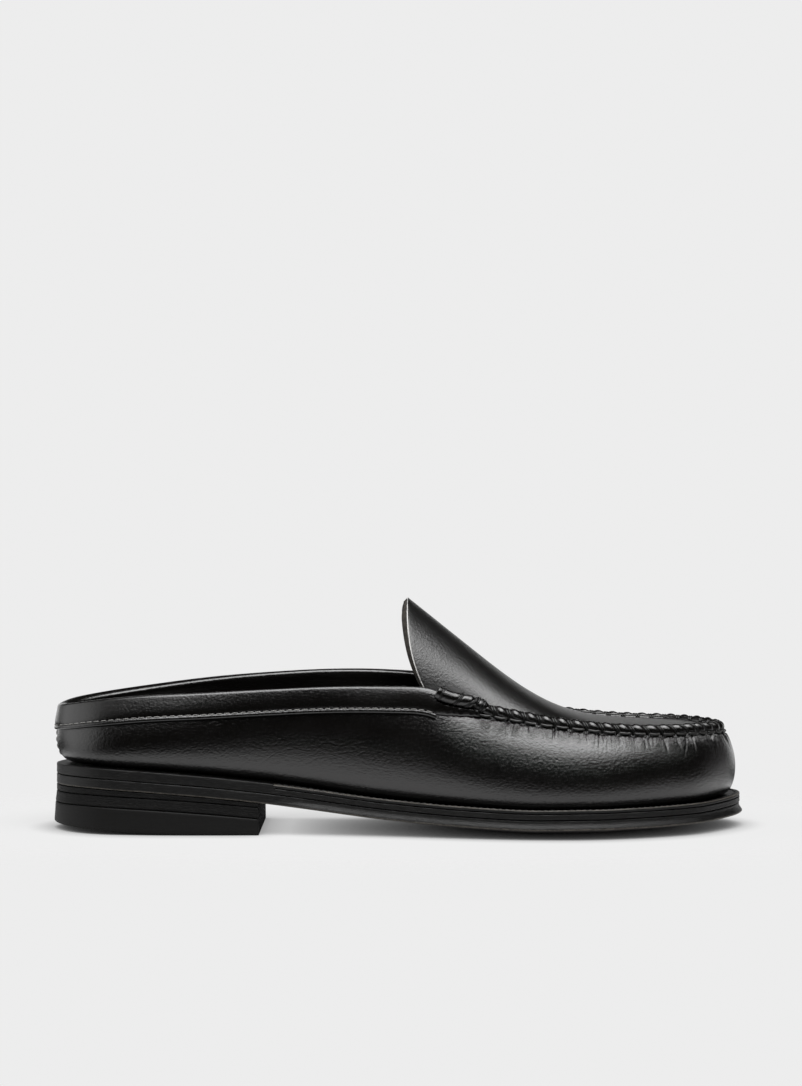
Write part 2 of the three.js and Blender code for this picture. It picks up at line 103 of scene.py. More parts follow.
stations = columns(stationNames, stationRows)
edgeLine = columns(edgeNames, edgeRows)
crownLine = columns(crownNames, crownRows)
lastRow = len(stationRows) - 1
loopRows = 2 * lastRow
halfBall = shoe["ballWidth"] / 2
soleStack = shoe["outsoleThick"] + shoe["midsoleThick"] + shoe["weltThick"] + 2 * shoe["gap"]


def mix(a, b, t):
    return a + (b - a) * t


def ease(x, start, end):
    t = np.clip((x - start) / (end - start), 0, 1)
    return t * t * (3 - 2 * t)


def unit(vectors):
    return vectors / np.maximum(np.linalg.norm(vectors, axis=-1, keepdims=True), 1e-12)


def tableCurve(xs, ys):  # a smooth curve through a table that never overshoots it
    steps = np.diff(ys) / np.diff(xs)
    before, after = steps[:-1], steps[1:]
    same = before * after > 0
    middle = np.where(same, 2 * before * after / np.where(same, before + after, 1), 0)
    slopes = np.concatenate(([steps[0]], middle, [steps[-1]]))

    def at(x):
        x = np.clip(x, xs[0], xs[-1])
        i = np.clip(np.searchsorted(xs, x, side="right") - 1, 0, len(xs) - 2)
        width = xs[i + 1] - xs[i]
        t = (x - xs[i]) / width
        rise = (1 + 2 * t) * (1 - t) ** 2 * ys[i] + t * t * (3 - 2 * t) * ys[i + 1]
        return rise + width * (t * (1 - t) ** 2 * slopes[i] - t * t * (1 - t) * slopes[i + 1])

    return at


def closedCurve(points):  # centripetal Catmull-Rom, one unit of the parameter a point
    points = np.array(points, float)
    count = len(points)

    def at(rows):
        place = np.mod(np.asarray(rows, float), count)
        i = np.floor(place).astype(int) % count
        w = (place - np.floor(place))[..., None]
        q = [points[(i + k) % count] for k in (-1, 0, 1, 2)]
        d = [np.maximum(np.sum((q[k + 1] - q[k]) ** 2, -1, keepdims=True) ** 0.25, 1e-4)
             for k in range(3)]
        t1 = ((q[1] - q[0]) / d[0] - (q[2] - q[0]) / (d[0] + d[1]) + (q[2] - q[1]) / d[1]) * d[1]
        t2 = ((q[2] - q[1]) / d[1] - (q[3] - q[1]) / (d[1] + d[2]) + (q[3] - q[2]) / d[2]) * d[1]
        bend = 3 * (q[2] - q[1]) - 2 * t1 - t2
        return q[1] + t1 * w + bend * w ** 2 + (2 * (q[1] - q[2]) + t1 + t2) * w ** 3

    return at


def fairLoop(outSide, inSide, spread=0.12, fine=10):  # the curve with its small kinks evened out
    points = np.concatenate((outSide, inSide[1:-1][::-1]))
    dense = closedCurve(points)(np.arange(len(points) * fine) / fine)
    waves = np.fft.fftfreq(len(dense)) * spread * fine
    soft = np.real(np.fft.ifft(np.fft.fft(dense, axis=0)
                               * np.exp(-2 * (math.pi * waves) ** 2)[:, None], axis=0))
    curve = closedCurve(soft)
    return lambda rows: curve(np.asarray(rows, float) * fine)


def threeColumns(x, y, z):
    return np.stack([x, y, np.broadcast_to(z, np.shape(x))], axis=-1)


s = stations
outline = fairLoop(
    threeColumns(s["at"] * shoe["length"], -s["out"] * halfBall, 0.0),
    threeColumns(s["at"] * shoe["length"], s["in"] * halfBall, 0.0))
topLine = fairLoop(
    threeColumns(s["top"] * shoe["length"], -s["topOut"] * halfBall, s["highOut"] * shoe["collarHeight"]),
    threeColumns(s["top"] * shoe["length"], s["topIn"] * halfBall, s["highIn"] * shoe["collarHeight"]))
bulgeAt = tableCurve(np.arange(lastRow + 1.0), s["bulge"])
outAt = tableCurve(s["at"], s["out"])
inAt = tableCurve(s["at"], s["in"])
heelShare = tableCurve(edgeLine["at"], edgeLine["heel"])
toeShare = tableCurve(edgeLine["at"], edgeLine["toe"])
crownAt = tableCurve(crownLine["row"], crownLine["at"])
crownHigh = tableCurve(crownLine["row"], crownLine["high"])
archAt = tableCurve(crownLine["row"], crownLine["arch"])

nearStep = 0.02  # the step in rows and in height shares that slopes are taken over


def stationRow(rows):
    inLoop = np.mod(rows, loopRows)
    return np.where(inLoop > lastRow, loopRows - inLoop, inLoop)


def outlineNormal(rows):  # level, pointing inwards
    along = unit(outline(rows + nearStep) - outline(rows - nearStep))
    return np.stack([-along[..., 1], along[..., 0], np.zeros(np.shape(rows))], axis=-1)


def outlineIn(rows, inset):
    return outline(rows) + outlineNormal(rows) * np.asarray(inset, float)[..., None]


def edgeTop(x):
    at = x / shoe["length"]
    rise = shoe["edgeLift"] + (shoe["heelRise"] - shoe["edgeLift"]) * heelShare(at)
    return soleStack + rise + shoe["toeSpring"] * toeShare(at)


def soleHeight(x, y, below):
    at = x / shoe["length"]
    halfWidth = halfBall * (outAt(at) + inAt(at)) / 2
    middle = halfBall * (inAt(at) - outAt(at)) / 2
    camber = (shoe["edgeLift"] + shoe["flatDip"]) * ease(x, shoe["heelLength"],
                                                         shoe["heelLength"] + halfBall)
    drop = camber * np.maximum(0, halfWidth ** 2 - (y - middle) ** 2) / halfBall ** 2
    return edgeTop(x) - below - drop


def wallSkin(rows, v):
    rows, v = np.broadcast_arrays(np.asarray(rows, float), np.asarray(v, float))
    foot = outlineIn(rows, np.full(rows.shape, shoe["ledge"]))
    foot[..., 2] = soleHeight(foot[..., 0], foot[..., 1], 0) + shoe["gap"]
    share = stationRow(rows) / lastRow
    share = mix(share, 1, ease(stationRow(rows), *shoe["toeForm"]))
    peak = mix(shoe["heelPeak"], shoe["toePeak"], share)
    bent = v ** (math.log(0.5) / np.log(peak))
    swell = np.maximum(0, 4 * bent * (1 - bent)) ** mix(shoe["heelFullness"],
                                                         shoe["toeFullness"], share)
    swell = swell * shoe["wallBulge"] * bulgeAt(stationRow(rows))
    return mix(foot, topLine(rows), v[..., None]) - outlineNormal(rows) * swell[..., None]


def wallNormal(rows, v):
    along = wallSkin(rows + nearStep, v) - wallSkin(rows - nearStep, v)
    up = wallSkin(rows, np.minimum(v + nearStep, 1)) - wallSkin(rows, np.maximum(v - nearStep, 0))
    return unit(np.cross(along, up))


def wallPoint(rows, v, depth):
    rows, v, depth = np.broadcast_arrays(np.asarray(rows, float), np.asarray(v, float), depth)
    return wallSkin(rows, v) - wallNormal(rows, v) * depth[..., None]


def plugEdge(rows):
    tucked = 1 - ease(stationRow(rows), shoe["seamRow"] - 2 * shoe["seamBlend"],
                      shoe["seamRow"] + shoe["seamBlend"])
    edge = wallPoint(rows, 1.0, shoe["throatTuck"] * tucked)
    edge[..., 2] -= shoe["throatSink"] * tucked
    return edge


def plugSkin(rows, across):
    rows, across = np.broadcast_arrays(np.asarray(rows, float), np.asarray(across, float))
    out, inner = plugEdge(rows), plugEdge(loopRows - rows)
    middle = (out + inner) / 2
    toeTop = topLine(np.array([float(lastRow)]))[0, 2]
    crownX = crownAt(rows) * shoe["length"]
    crownZ = np.maximum(middle[..., 2], mix(toeTop, shoe["tongueHeight"], crownHigh(rows)))
    arch = archAt(rows)
    turn = across * math.pi / 2
    side = mix(across, np.sin(turn), arch)
    rise = mix(1 - across ** 2, np.maximum(0, np.cos(turn)), arch)
    forward = 1 - (1 - rise) ** shoe["crownPower"]
    point = middle + (inner - middle) * side[..., None]
    point[..., 0] += (crownX - middle[..., 0]) * forward
    point[..., 2] += (crownZ - middle[..., 2]) * rise
    return point


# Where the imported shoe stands: its heel's back and its sole's sides give the offset
sides = outline(np.linspace(0, loopRows, 2000))[:, 1]
soleLow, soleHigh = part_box("outsole")
origin = np.array([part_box("heel_top_lift")[0].x,
                   (soleLow.y + soleHigh.y) / 2 - (sides.min() + sides.max()) / 2 * mm, 0.0])


def placed(points):
    return np.asarray(points, float) * mm + origin


print("forms: offset", [round(float(value), 5) for value in origin])

# Mesh making


def gridQuads(count, across, start=0, closedCount=False, closedAcross=False):
    i = np.arange(count if closedCount else count - 1)
    j = np.arange(across if closedAcross else across - 1)
    i, j = [grid.ravel() for grid in np.meshgrid(i, j, indexing="ij")]
    ni, nj = (i + 1) % count, (j + 1) % across
    return start + np.stack([i * across + j, ni * across + j, ni * across + nj, i * across + nj], -1)


class Mesh:  # gathers grids of points, in millimetres, into one mesh
    def __init__(self):
        self.points, self.faces, self.finish, self.count = [], [], [], 0
        self.extra = {}

    def add(self, points, faces, finish=0, **extra):
        points = np.asarray(points, float).reshape(-1, 3)
        self.points.append(points)
        self.cover(np.asarray(faces, int) + self.count, finish)
        for name in set(self.extra) | set(extra):
            known = self.extra.setdefault(name, [np.zeros(self.count)])
            values = np.broadcast_to(extra.get(name, 0.0), self.points[-1].shape[:1]) \
                if np.ndim(extra.get(name, 0.0)) == 0 else np.ravel(extra[name])
            known.append(np.asarray(values, float))
        self.count += len(points)

    def cover(self, faces, finish=0):  # faces over points that are there already
        self.faces.append(faces)
        self.finish.append(np.broadcast_to(finish, len(faces)).astype(int))

    def grid(self, points, finish=0, closedCount=False, closedAcross=False, **extra):
        count, across = points.shape[:2]
        self.add(points, gridQuads(count, across, 0, closedCount, closedAcross), finish, **extra)

    def cap(self, start, size, finish=0):  # closes a ring that runs out and comes back
        k = np.arange(size // 2 - 1)
        self.cover(start + np.stack([k, k + 1, size - 2 - k, size - 1 - k], -1), finish)

    def build(self, name, materials, slot, nodes=(), weld=0.0005, sharp=None):
        mesh = bpy.data.meshes.new(name)
        faces = [face for block in self.faces for face in block.tolist()]
        mesh.from_pydata(placed(np.concatenate(self.points)).tolist(), [], faces)
        mesh.polygons.foreach_set("material_index", np.concatenate(self.finish).astype(np.int32))
        for key, values in self.extra.items():
            layer = mesh.attributes.new(key, "FLOAT", "POINT")
            layer.data.foreach_set("value", np.concatenate(values).astype(np.float32))
        work = bmesh.new()
        work.from_mesh(mesh)
        bmesh.ops.remove_doubles(work, verts=work.verts, dist=weld * mm)
        bmesh.ops.recalc_face_normals(work, faces=work.faces)
        work.to_mesh(mesh)
        work.free()
        mesh.shade_smooth()
        if sharp:
            mesh.set_sharp_from_angle(angle=math.radians(sharp))
        piece = bpy.data.objects.new(name, mesh)
        bpy.context.scene.collection.objects.link(piece)
        for material in materials:
            mesh.materials.append(material)
        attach(piece, "root")
        if nodes:
            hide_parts(*nodes)
        print("piece", name, len(mesh.vertices), "points", len(mesh.polygons), "faces")
        return piece


def tube(mesh, path, radii, sides=8, flat=1.0, up=(0, 0, 1), finish=0, **extra):
    path = np.asarray(path, float)
    radii = np.broadcast_to(np.asarray(radii, float), len(path))[:, None, None]
    ahead = np.gradient(path, axis=0)
    side = unit(np.cross(ahead, np.broadcast_to(np.asarray(up, float), path.shape)))
    lift = np.cross(side, unit(ahead))
    turns = (np.arange(sides) * 2 * math.pi / sides)[None, :, None]
    rings = (path[:, None] + side[:, None] * np.cos(turns) * radii
             + lift[:, None] * np.sin(turns) * radii * flat)
    start = mesh.count
    mesh.grid(rings, finish, False, True, **extra)
    mesh.cap(start, sides, finish)
    mesh.cap(mesh.count - sides, sides, finish)


def thread(mesh, path, radius, sides=6, flat=1.0, up=(0, 0, 1), finish=0, taper=0.45):
    path = np.asarray(path, float)
    run = np.concatenate(([0], np.cumsum(np.linalg.norm(np.diff(path, axis=0), axis=1))))
    full = (1 - taper) + taper * np.sin(math.pi * run / run[-1]) ** 0.5
    turns = np.arange(sides) * 2 * math.pi / sides
    tube(mesh, path, radius * full, sides, flat, up, finish,
         twist=run[:, None] / radius * 1.6 + turns[None])


# Materials


class Wire:  # one socket; sums on it add Math nodes
    def __init__(self, board, socket):
        self.board, self.socket = board, socket

    def math(self, operation, *others):
        return self.board.math(operation, self, *others)

    def __add__(self, other):
        return self.board.math("ADD", self, other)

    def __mul__(self, other):
        return self.board.math("MULTIPLY", self, other)

    def __sub__(self, other):
        return self.board.math("SUBTRACT", self, other)

    def __rsub__(self, other):
        return self.board.math("SUBTRACT", other, self)

    def __truediv__(self, other):
        return self.board.math("DIVIDE", self, other)

    def __pow__(self, other):
        return self.board.math("POWER", self, other)

    __radd__ = __add__
    __rmul__ = __mul__


class Board:  # the node tree of one material or of the world
    def __init__(self, owner):
        owner.use_nodes = True
        self.owner, self.tree = owner, owner.node_tree
        self.tree.nodes.clear()

    def add(self, kind, settings=None, inputs=None, output=0):
        node = self.tree.nodes.new(kind)
        for key, value in (settings or {}).items():
            if key == "stops":
                self.setStops(node.color_ramp, value)
            else:
                setattr(node, key, value)
        for key, value in (inputs or {}).items():
            if isinstance(value, Wire):
                self.tree.links.new(value.socket, node.inputs[key])
            else:
                node.inputs[key].default_value = value
        return Wire(self, node.outputs[output]) if node.outputs else node

    def setStops(self, ramp, stops):
        while len(ramp.elements) < len(stops):
            ramp.elements.new(0.5)
        for element, (place, shade) in zip(ramp.elements, stops):
            element.position = place
            element.color = shade if isinstance(shade, tuple) else (shade, shade, shade, 1)

    def math(self, operation, *values):
        return self.add("ShaderNodeMath", {"operation": operation}, dict(enumerate(values)))

    def attribute(self, name):
        return self.add("ShaderNodeAttribute", {"attribute_name": name}, output="Fac")

    def place(self):
        return self.add("ShaderNodeTexCoord", output="Object")

    def axes(self, vector):
        return [self.add("ShaderNodeSeparateXYZ", inputs={0: vector}, output=k) for k in range(3)]

    def vector(self, x, y, z):
        return self.add("ShaderNodeCombineXYZ", inputs={0: x, 1: y, 2: z})

    def noise(self, vector, scale, detail=2.0, roughness=0.5):
        return self.add("ShaderNodeTexNoise", inputs={
            "Vector": vector, "Scale": scale, "Detail": detail, "Roughness": roughness})

    def cells(self, vector, scale, feature="F1", smoothness=None):
        return self.add("ShaderNodeTexVoronoi", {"feature": feature}, {
            "Vector": vector, "Scale": scale})

    def between(self, value, low, high):  # 0 below low, 1 above high
        return self.add("ShaderNodeMapRange", {"interpolation_type": "SMOOTHSTEP"}, {
            "Value": value, "From Min": low, "From Max": high})

    def shade(self, factor, first, second):
        return self.add("ShaderNodeMix", {"data_type": "RGBA"}, {
            "Factor": factor, 6: first, 7: second}, output=2)

    def bump(self, height, strength, distance, under=None):
        inputs = {"Height": height, "Strength": strength, "Distance": distance}
        if under:
            inputs["Normal"] = under
        return self.add("ShaderNodeBump", inputs=inputs)

    def finish(self, inputs):
        surface = self.add("ShaderNodeBsdfPrincipled", inputs=inputs)
        self.add("ShaderNodeOutputMaterial", inputs={"Surface": surface})
        return self.owner


def newBoard(name):
    return Board(bpy.data.materials.new(name))


# calf's lighter colour is used for worn patches placed at random
calf = {"colour": (0.0019, 0.0016, 0.0013, 1), "wearAndPaintedHighlight": (0.0034, 0.003, 0.0026, 1),
        "roughness": 0.2, "grain": 1000, "grainDepth": 0.0002, "shine": 0.75, "coat": 0.28,
        "coatRoughness": 0.15}


def calfGrain(board, place, strength):  # tight pores over a soft uneven pull
    pebbles = board.cells(place, calf["grain"], "SMOOTH_F1")
    fine = board.noise(place, calf["grain"] * 1.9, 3, 0.6)
    pull = board.noise(place, 110, 2, 0.5)
    grained = board.bump(pebbles * 0.6 + fine * 0.8, strength, calf["grainDepth"])
    return fine, board.bump(pull, 0.04, 0.0005, grained)


def calfLeather(name, roughness=calf["roughness"], grain=1.0, coat=calf["coat"],
                coatRoughness=calf["coatRoughness"]):
    board = newBoard(name)
    place = board.place()
    patches = board.noise(place, 35, 3, 0.55)
    fine, soft = calfGrain(board, place, 0.9 * grain)
    return board.finish({
        "Base Color": board.shade(board.between(patches, 0.35, 0.75), calf["colour"], calf["wearAndPaintedHighlight"]),
        "Roughness": patches * 0.12 + fine * 0.08 + (roughness - 0.1),
        "Specular IOR Level": calf["shine"], "Coat Weight": coat, "Coat Roughness": coatRoughness,
        "IOR": 1.5, "Normal": soft})


# rim: a near-white colour painted on the tongue's cut edge as a highlight along the grain side
raw = {"colour": (0.045, 0.038, 0.03, 1), "dark": (0.012, 0.010, 0.009, 1),
       "rim": (0.7, 0.69, 0.67, 1)}


def rawEdge(name):  # the cut edge of the tongue: a fibrous core between dark faces
    board = newBoard(name)
    place = board.place()
    depth = board.attribute("cut")
    fibres = board.noise(place, 1500, 4, 0.7)
    clumps = board.noise(place, 420, 3, 0.6)
    core = board.between(depth, 0.24, 0.36) * (1 - board.between(depth, 0.8, 0.96))
    cut = board.shade(core * board.between(clumps + fibres * 0.5, 0.5, 0.95), raw["dark"], raw["colour"])
    paintedHighlightRim = 1 - board.between(depth, 0.1, 0.15)  # a near-white strip painted along the grain side's rim: a painted highlight
    return board.finish({
        "Base Color": board.shade(paintedHighlightRim, cut, raw["rim"]),
        "Roughness": 0.86 - 0.4 * (1 - core),
        "Normal": board.bump(fibres + clumps, 0.9, 0.0004)})


def liningLeather(name, colour=(0.012, 0.0115, 0.011, 1), roughness=0.52):
    board = newBoard(name)
    place = board.place()
    grain = board.noise(place, 1300, 3, 0.6)
    pores = board.cells(place, 700)
    patches = board.noise(place, 45, 3, 0.5)
    return board.finish({
        "Base Color": board.shade(patches, colour, tuple(c * 1.7 for c in colour[:3]) + (1,)),
        "Roughness": patches * 0.16 + (roughness - 0.08),
        "Normal": board.bump(grain * 0.6 + pores * 0.4, 0.4, 0.00012)})


edge = {"colour": (0.0022, 0.0021, 0.002, 1), "rubbed": (0.012, 0.0115, 0.0105, 1),
        "bareInkAndHighlight": (0.11, 0.1, 0.085, 1), "lines": 2.4}


def soleEdge(name, roughness=0.42, lines=edge["lines"], strength=0.5, level=0.3, wearAndPaintedHighlight=None,
             rubbedTo=edge["rubbed"]):
    board = newBoard(name)
    x, y, z = board.axes(board.place())
    lift = board.attribute("lift")  # height across the edge, in millimetres
    slow = board.vector(x * 90, y * 90, lift * lines)
    strata = board.noise(slow, 1, 4, 0.65)
    scrapes = board.noise(board.vector(x * 260, y * 260, lift * lines * 2.6), 1, 3, 0.6)
    specks = board.noise(board.vector(x * 1500, y * 1500, lift * 1.5), 1, 3, 0.6)
    rubbed = board.between(strata * 0.6 + scrapes * 0.4, 0.52, 0.66) * board.between(specks, 0.4, 0.6)
    colour = board.shade(rubbed, edge["colour"], rubbedTo)
    if wearAndPaintedHighlight:  # between two heights the ink is rubbed to a pale colour: partly wear, partly a painted highlight along the rounded rim
        band = board.between(lift, wearAndPaintedHighlight[0], wearAndPaintedHighlight[1]) * (1 - board.between(lift, wearAndPaintedHighlight[2], wearAndPaintedHighlight[3]))
        colour = board.shade(band * board.between(specks * 0.5 + scrapes * 0.5, 0.36, 0.62), colour,
                             edge["bareInkAndHighlight"])
    return board.finish({
        "Base Color": colour,
        "Roughness": scrapes * 0.25 + (roughness - 0.12), "Specular IOR Level": level,
        "Normal": board.bump(strata * 0.7 + scrapes * 0.4 + specks * 0.12, strength, 0.0005)})


def soleBottom(name):
    board = newBoard(name)
    place = board.place()
    x, y, z = board.axes(place)
    scuffs = board.noise(board.vector(x * 60, y * 700, 0), 1, 4, 0.6)
    grain = board.noise(place, 900, 4, 0.65)
    cloud = board.noise(place, 30, 3, 0.5)
    return board.finish({
        "Base Color": board.shade(board.between(cloud * 0.6 + scuffs * 0.4, 0.4, 0.62),
                                  (0.014, 0.013, 0.012, 1), (0.032, 0.030, 0.027, 1)),
        "Roughness": cloud * 0.2 + scuffs * 0.15 + 0.32,
        "Normal": board.bump(grain + scuffs * 0.5, 0.35, 0.00025)})


def heelRubber(name):
    board = newBoard(name)
    x, y, z = board.axes(board.place())
    specks = board.noise(board.place(), 1400, 3, 0.6)
    drag = board.noise(board.vector(x * 70, y * 70, z * 2200), 1, 3, 0.6)
    return board.finish({
        "Base Color": board.shade(drag, (0.0028, 0.0027, 0.0026, 1), (0.0058, 0.0056, 0.0054, 1)),
        "Roughness": drag * 0.14 + specks * 0.06 + 0.46, "Specular IOR Level": 0.2,
        "Normal": board.bump(specks * 0.5 + drag * 0.5, 0.3, 0.00022)})


def waxedThread(name, colour, roughness=0.42):
    board = newBoard(name)
    twist = board.attribute("twist")
    strands = board.math("SINE", twist) * 0.5 + 0.5
    fuzz = board.noise(board.place(), 4200, 2, 0.5)
    return board.finish({
        "Base Color": board.shade(strands * 0.6 + fuzz * 0.4, tuple(c * 0.7 for c in colour) + (1,),
                                  tuple(c * 1.25 for c in colour) + (1,)),
        "Roughness": fuzz * 0.2 + (roughness - 0.1),
        "Normal": board.bump(strands + fuzz * 0.5, 0.5, 0.00012)})


def gatheredCalf(name):  # the wall, finely wrinkled where it is gathered into the toe seam
    board = newBoard(name)
    place = board.place()
    run, below, gather = [board.attribute(key) for key in ("run", "below", "gather")]
    patches = board.noise(place, 35, 3, 0.55)
    fine, soft = calfGrain(board, place, 0.9)
    wander = board.noise(board.vector(run * 0.12, below * 0.2, 0), 1, 2, 0.5)
    strands = board.noise(board.vector(run * 1.25 + wander * 2.0, below * 0.16, 0), 1, 3, 0.7)
    fade = (1 - board.between(below, 2.0, 12.0)) * gather
    wrinkled = board.bump(strands * fade, 1.0, 0.0015, soft)
    return board.finish({
        "Base Color": board.shade(board.between(patches, 0.35, 0.75), calf["colour"], calf["wearAndPaintedHighlight"]),
        "Roughness": patches * 0.12 + fine * 0.08 + (calf["roughness"] - 0.1),
        "Specular IOR Level": calf["shine"], "Coat Weight": calf["coat"],
        "Coat Roughness": calf["coatRoughness"], "IOR": 1.5, "Normal": wrinkled})


calfUpper = calfLeather("calfUpper", 0.36, 1.1, 0.2, 0.3)
calfWall = gatheredCalf("calfWall")
calfFolded = calfLeather("calfFolded", 0.22, 0.7)
tongueCut = rawEdge("tongueCut")
upperLining = liningLeather("upperLining", (0.024, 0.023, 0.022, 1), 0.45)
sockLeather = liningLeather("sockLeather", (0.017, 0.0155, 0.0145, 1), 0.5)
inkedEdge = soleEdge("inkedEdge")
# lipEdgeInk paints a pale band along the outsole's lower rim and weltEdgeInk one along the welt's top rim:
# partly rubbed ink, partly a painted highlight
lipEdgeInk = soleEdge("lipEdgeInk", wearAndPaintedHighlight=(-0.2, 0.05, 0.35, 0.75))
weltEdgeInk = soleEdge("weltEdgeInk", wearAndPaintedHighlight=(1.02, 1.2, 1.48, 1.58))
stackedEdge = soleEdge("stackedEdge", 0.5, 3.4, 1.0, 0.14, rubbedTo=(0.0065, 0.0062, 0.0058, 1))
breastEdge = soleEdge("breastEdge", 0.8, 3.4, 0.9, 0.03, rubbedTo=(0.0025, 0.0024, 0.0023, 1))
treadLeather = soleBottom("treadLeather")
treadRubber = heelRubber("treadRubber")
blackThread = waxedThread("blackThread", (0.004, 0.0039, 0.0037), 0.33)
chainThread = waxedThread("chainThread", (0.02, 0.0195, 0.019), 0.36)
# mid grey, lighter than the dark thread itself: the extra lightness is a painted highlight on the collar and
# back seam stitches
paintedSheenGreyThread = waxedThread("paintedSheenGreyThread", (0.24, 0.235, 0.225), 0.5)
print("materials made")

# The sole and the heel


def rowAtX(x):
    rows = np.linspace(0, lastRow, 4000)
    return float(np.interp(x, outline(rows)[:, 0], rows))


def evenRows(curve, start, end, spacing):  # rows at even steps along a curve
    dense = np.linspace(start, end, 6000)
    run = np.concatenate(([0], np.cumsum(np.linalg.norm(np.diff(curve(dense), axis=0), axis=1))))
    return np.interp(np.linspace(0, run[-1], max(2, round(run[-1] / spacing) + 1)), run, dense)


breastRow = rowAtX(shoe["heelLength"])

# Side edges: insets in millimetres by share of the height, from the bottom up
edgeShares = np.array([0, 0.03, 0.09, 0.2, 0.36, 0.52, 0.7, 0.84, 0.93, 0.98, 1])
lipEdge = np.array([0.5, 0.14, 0, 0.06, 0.5, 0.98, 1.28, 1.36, 1.32, 1.42, 1.7])
plainEdge = np.array([1.5, 1.22, 1.1, 1.1, 1.12, 1.14, 1.12, 1.1, 1.1, 1.2, 1.5])
acrossShares = np.array([0, 0.02, 0.05, 0.09, 0.14, 0.22, 0.34, 0.5, 0.66, 0.78, 0.86, 0.91, 0.95, 0.98, 1])


def layerRing(row, insets, top, bottom):  # one section through a layer, right round
    rows = np.array([row, loopRows - row])
    side = np.stack([outlineIn(rows, np.full(2, inset)) for inset in insets])
    high, low = top(side[..., 0], side[..., 1]), bottom(side[..., 0], side[..., 1])
    side[..., 2] = low + (high - low) * edgeShares[:, None]
    share = acrossShares[1:-1, None]
    above = mix(side[-1, 0], side[-1, 1], share)
    above[:, 2] = top(above[:, 0], above[:, 1])
    below = mix(side[0, 1], side[0, 0], share)
    below[:, 2] = bottom(below[:, 0], below[:, 1])
    return np.concatenate((side[:, 0], above, side[::-1, 1], below))


def soleLayer(name, end, insetsAt, top, bottom, materials, slot, node, spacing=1.0):
    rows = evenRows(outline, 0, end, spacing)
    finest = rows[1] / 4  # the outline turns sharply at the heel's back and at the toe
    rows = np.concatenate(([0, finest, 2 * finest], rows[1:-1]))
    if end == lastRow:
        rows = np.concatenate((rows, [lastRow - 0.02, lastRow]))
    else:
        rows = np.concatenate((rows, [end - 0.012, end]))
    rings = np.stack([layerRing(row, insetsAt(row), top, bottom) for row in rows])
    if end != lastRow:
        rings[-1] = mix(rings[-1], rings[-1].mean(0) * [0, 1, 1] + rings[-1] * [1, 0, 0], 0.012)
    count = len(edgeShares)
    lift = np.concatenate((edgeShares, np.ones(len(acrossShares) - 2), edgeShares[::-1],
                           np.zeros(len(acrossShares) - 2)))
    heights = (rings[:, count - 1, 2] - rings[:, 0, 2])[:, None] * lift[None]
    mesh = Mesh()
    side = np.concatenate((np.arange(count), np.arange(2 * count - 2 + len(acrossShares), -1, -1)))
    under = np.arange(rings.shape[1]) >= 2 * count + len(acrossShares) - 3
    mesh.grid(rings, np.tile(np.where(under, 2, 0), len(rings) - 1), False, True, lift=heights)
    if end != lastRow:
        outSide = rings[-1][:count]
        inSide = rings[-1][count + len(acrossShares) - 2:2 * count + len(acrossShares) - 2][::-1]
        mesh.grid(np.stack([mix(outSide, inSide, share) for share in acrossShares], 1), 1,
                  lift=(outSide[:, 2] - outSide[0, 2])[:, None] + np.zeros(len(acrossShares)))
    piece = mesh.build(name, materials, slot, [node], weld=0.002, sharp=50)
    return piece


def lipAt(row):
    plain = 1 - ease(row, breastRow, breastRow + 1)
    return mix(lipEdge, plainEdge, plain)


def heelFloor(x, y):
    share = 1 - x / (shoe["heelLength"] - shoe["heelFlat"])
    return shoe["rockerHeight"] * np.maximum(0, share) ** shoe["rockerPower"]


frontTop = shoe["weltThick"] + shoe["gap"]
seatLine = shoe["outsoleThick"] + shoe["midsoleThick"] + frontTop  # down to the sole's underside


def midsoleTop(x, y):
    drop = frontTop * ease(x, shoe["heelLength"] + 1.98 * shoe["weltRun"],
                           shoe["heelLength"] + 2.25 * shoe["weltRun"])
    return soleHeight(x, y, drop)


def upperLiftTop(x, y):
    return edgeTop(x) - soleStack - shoe["gap"]


def upperLiftBottom(x, y):
    return upperLiftTop(x, y) - mix(shoe["upperLiftBack"], shoe["upperLiftFront"],
                                    x / shoe["heelLength"])


def lowerLiftTop(x, y):
    return upperLiftBottom(x, y) - shoe["gap"]


def lowerLiftBottom(x, y):
    return lowerLiftTop(x, y) - shoe["lowerLiftThick"]


def topLiftTop(x, y):
    return lowerLiftBottom(x, y) - shoe["gap"]


def makeSole():
    soleLayer("leatherOutsole", lastRow, lipAt,
              lambda x, y: soleHeight(x, y, soleStack - shoe["outsoleThick"]),
              lambda x, y: np.maximum(0, soleHeight(x, y, soleStack)),
              [lipEdgeInk, breastEdge, treadLeather], "sole_leather", "outsole")
    soleLayer("leatherMidsole", lastRow, lambda row: plainEdge, midsoleTop,
              lambda x, y: soleHeight(x, y, frontTop + shoe["midsoleThick"]),
              [inkedEdge, breastEdge, inkedEdge], "sole_leather", "midsole")
    soleLayer("upperLift", breastRow, lambda row: plainEdge, upperLiftTop, upperLiftBottom,
              [stackedEdge, breastEdge, stackedEdge], "sole_leather", "heel_lift_upper", 1.6)
    soleLayer("lowerLift", breastRow, lambda row: plainEdge - (1 - edgeShares) * 0.55,
              lowerLiftTop, lowerLiftBottom, [stackedEdge, breastEdge, stackedEdge],
              "sole_leather", "heel_lift_lower", 1.6)
    soleLayer("rubberLift", breastRow, lambda row: plainEdge - 0.55 - (1 - edgeShares) * 0.55,
              topLiftTop, heelFloor, [treadRubber, breastEdge, treadRubber], "heel_rubber",
              "heel_top_lift", 1.6)


weltInsets = np.array([7.6, 10.1])
weltRim = [(1.62, 0.0), (1.25, 0.1), (1.12, 0.3), (1.1, 0.75), (1.2, 1.2), (1.5, 1.5), (1.95, 1.6)]


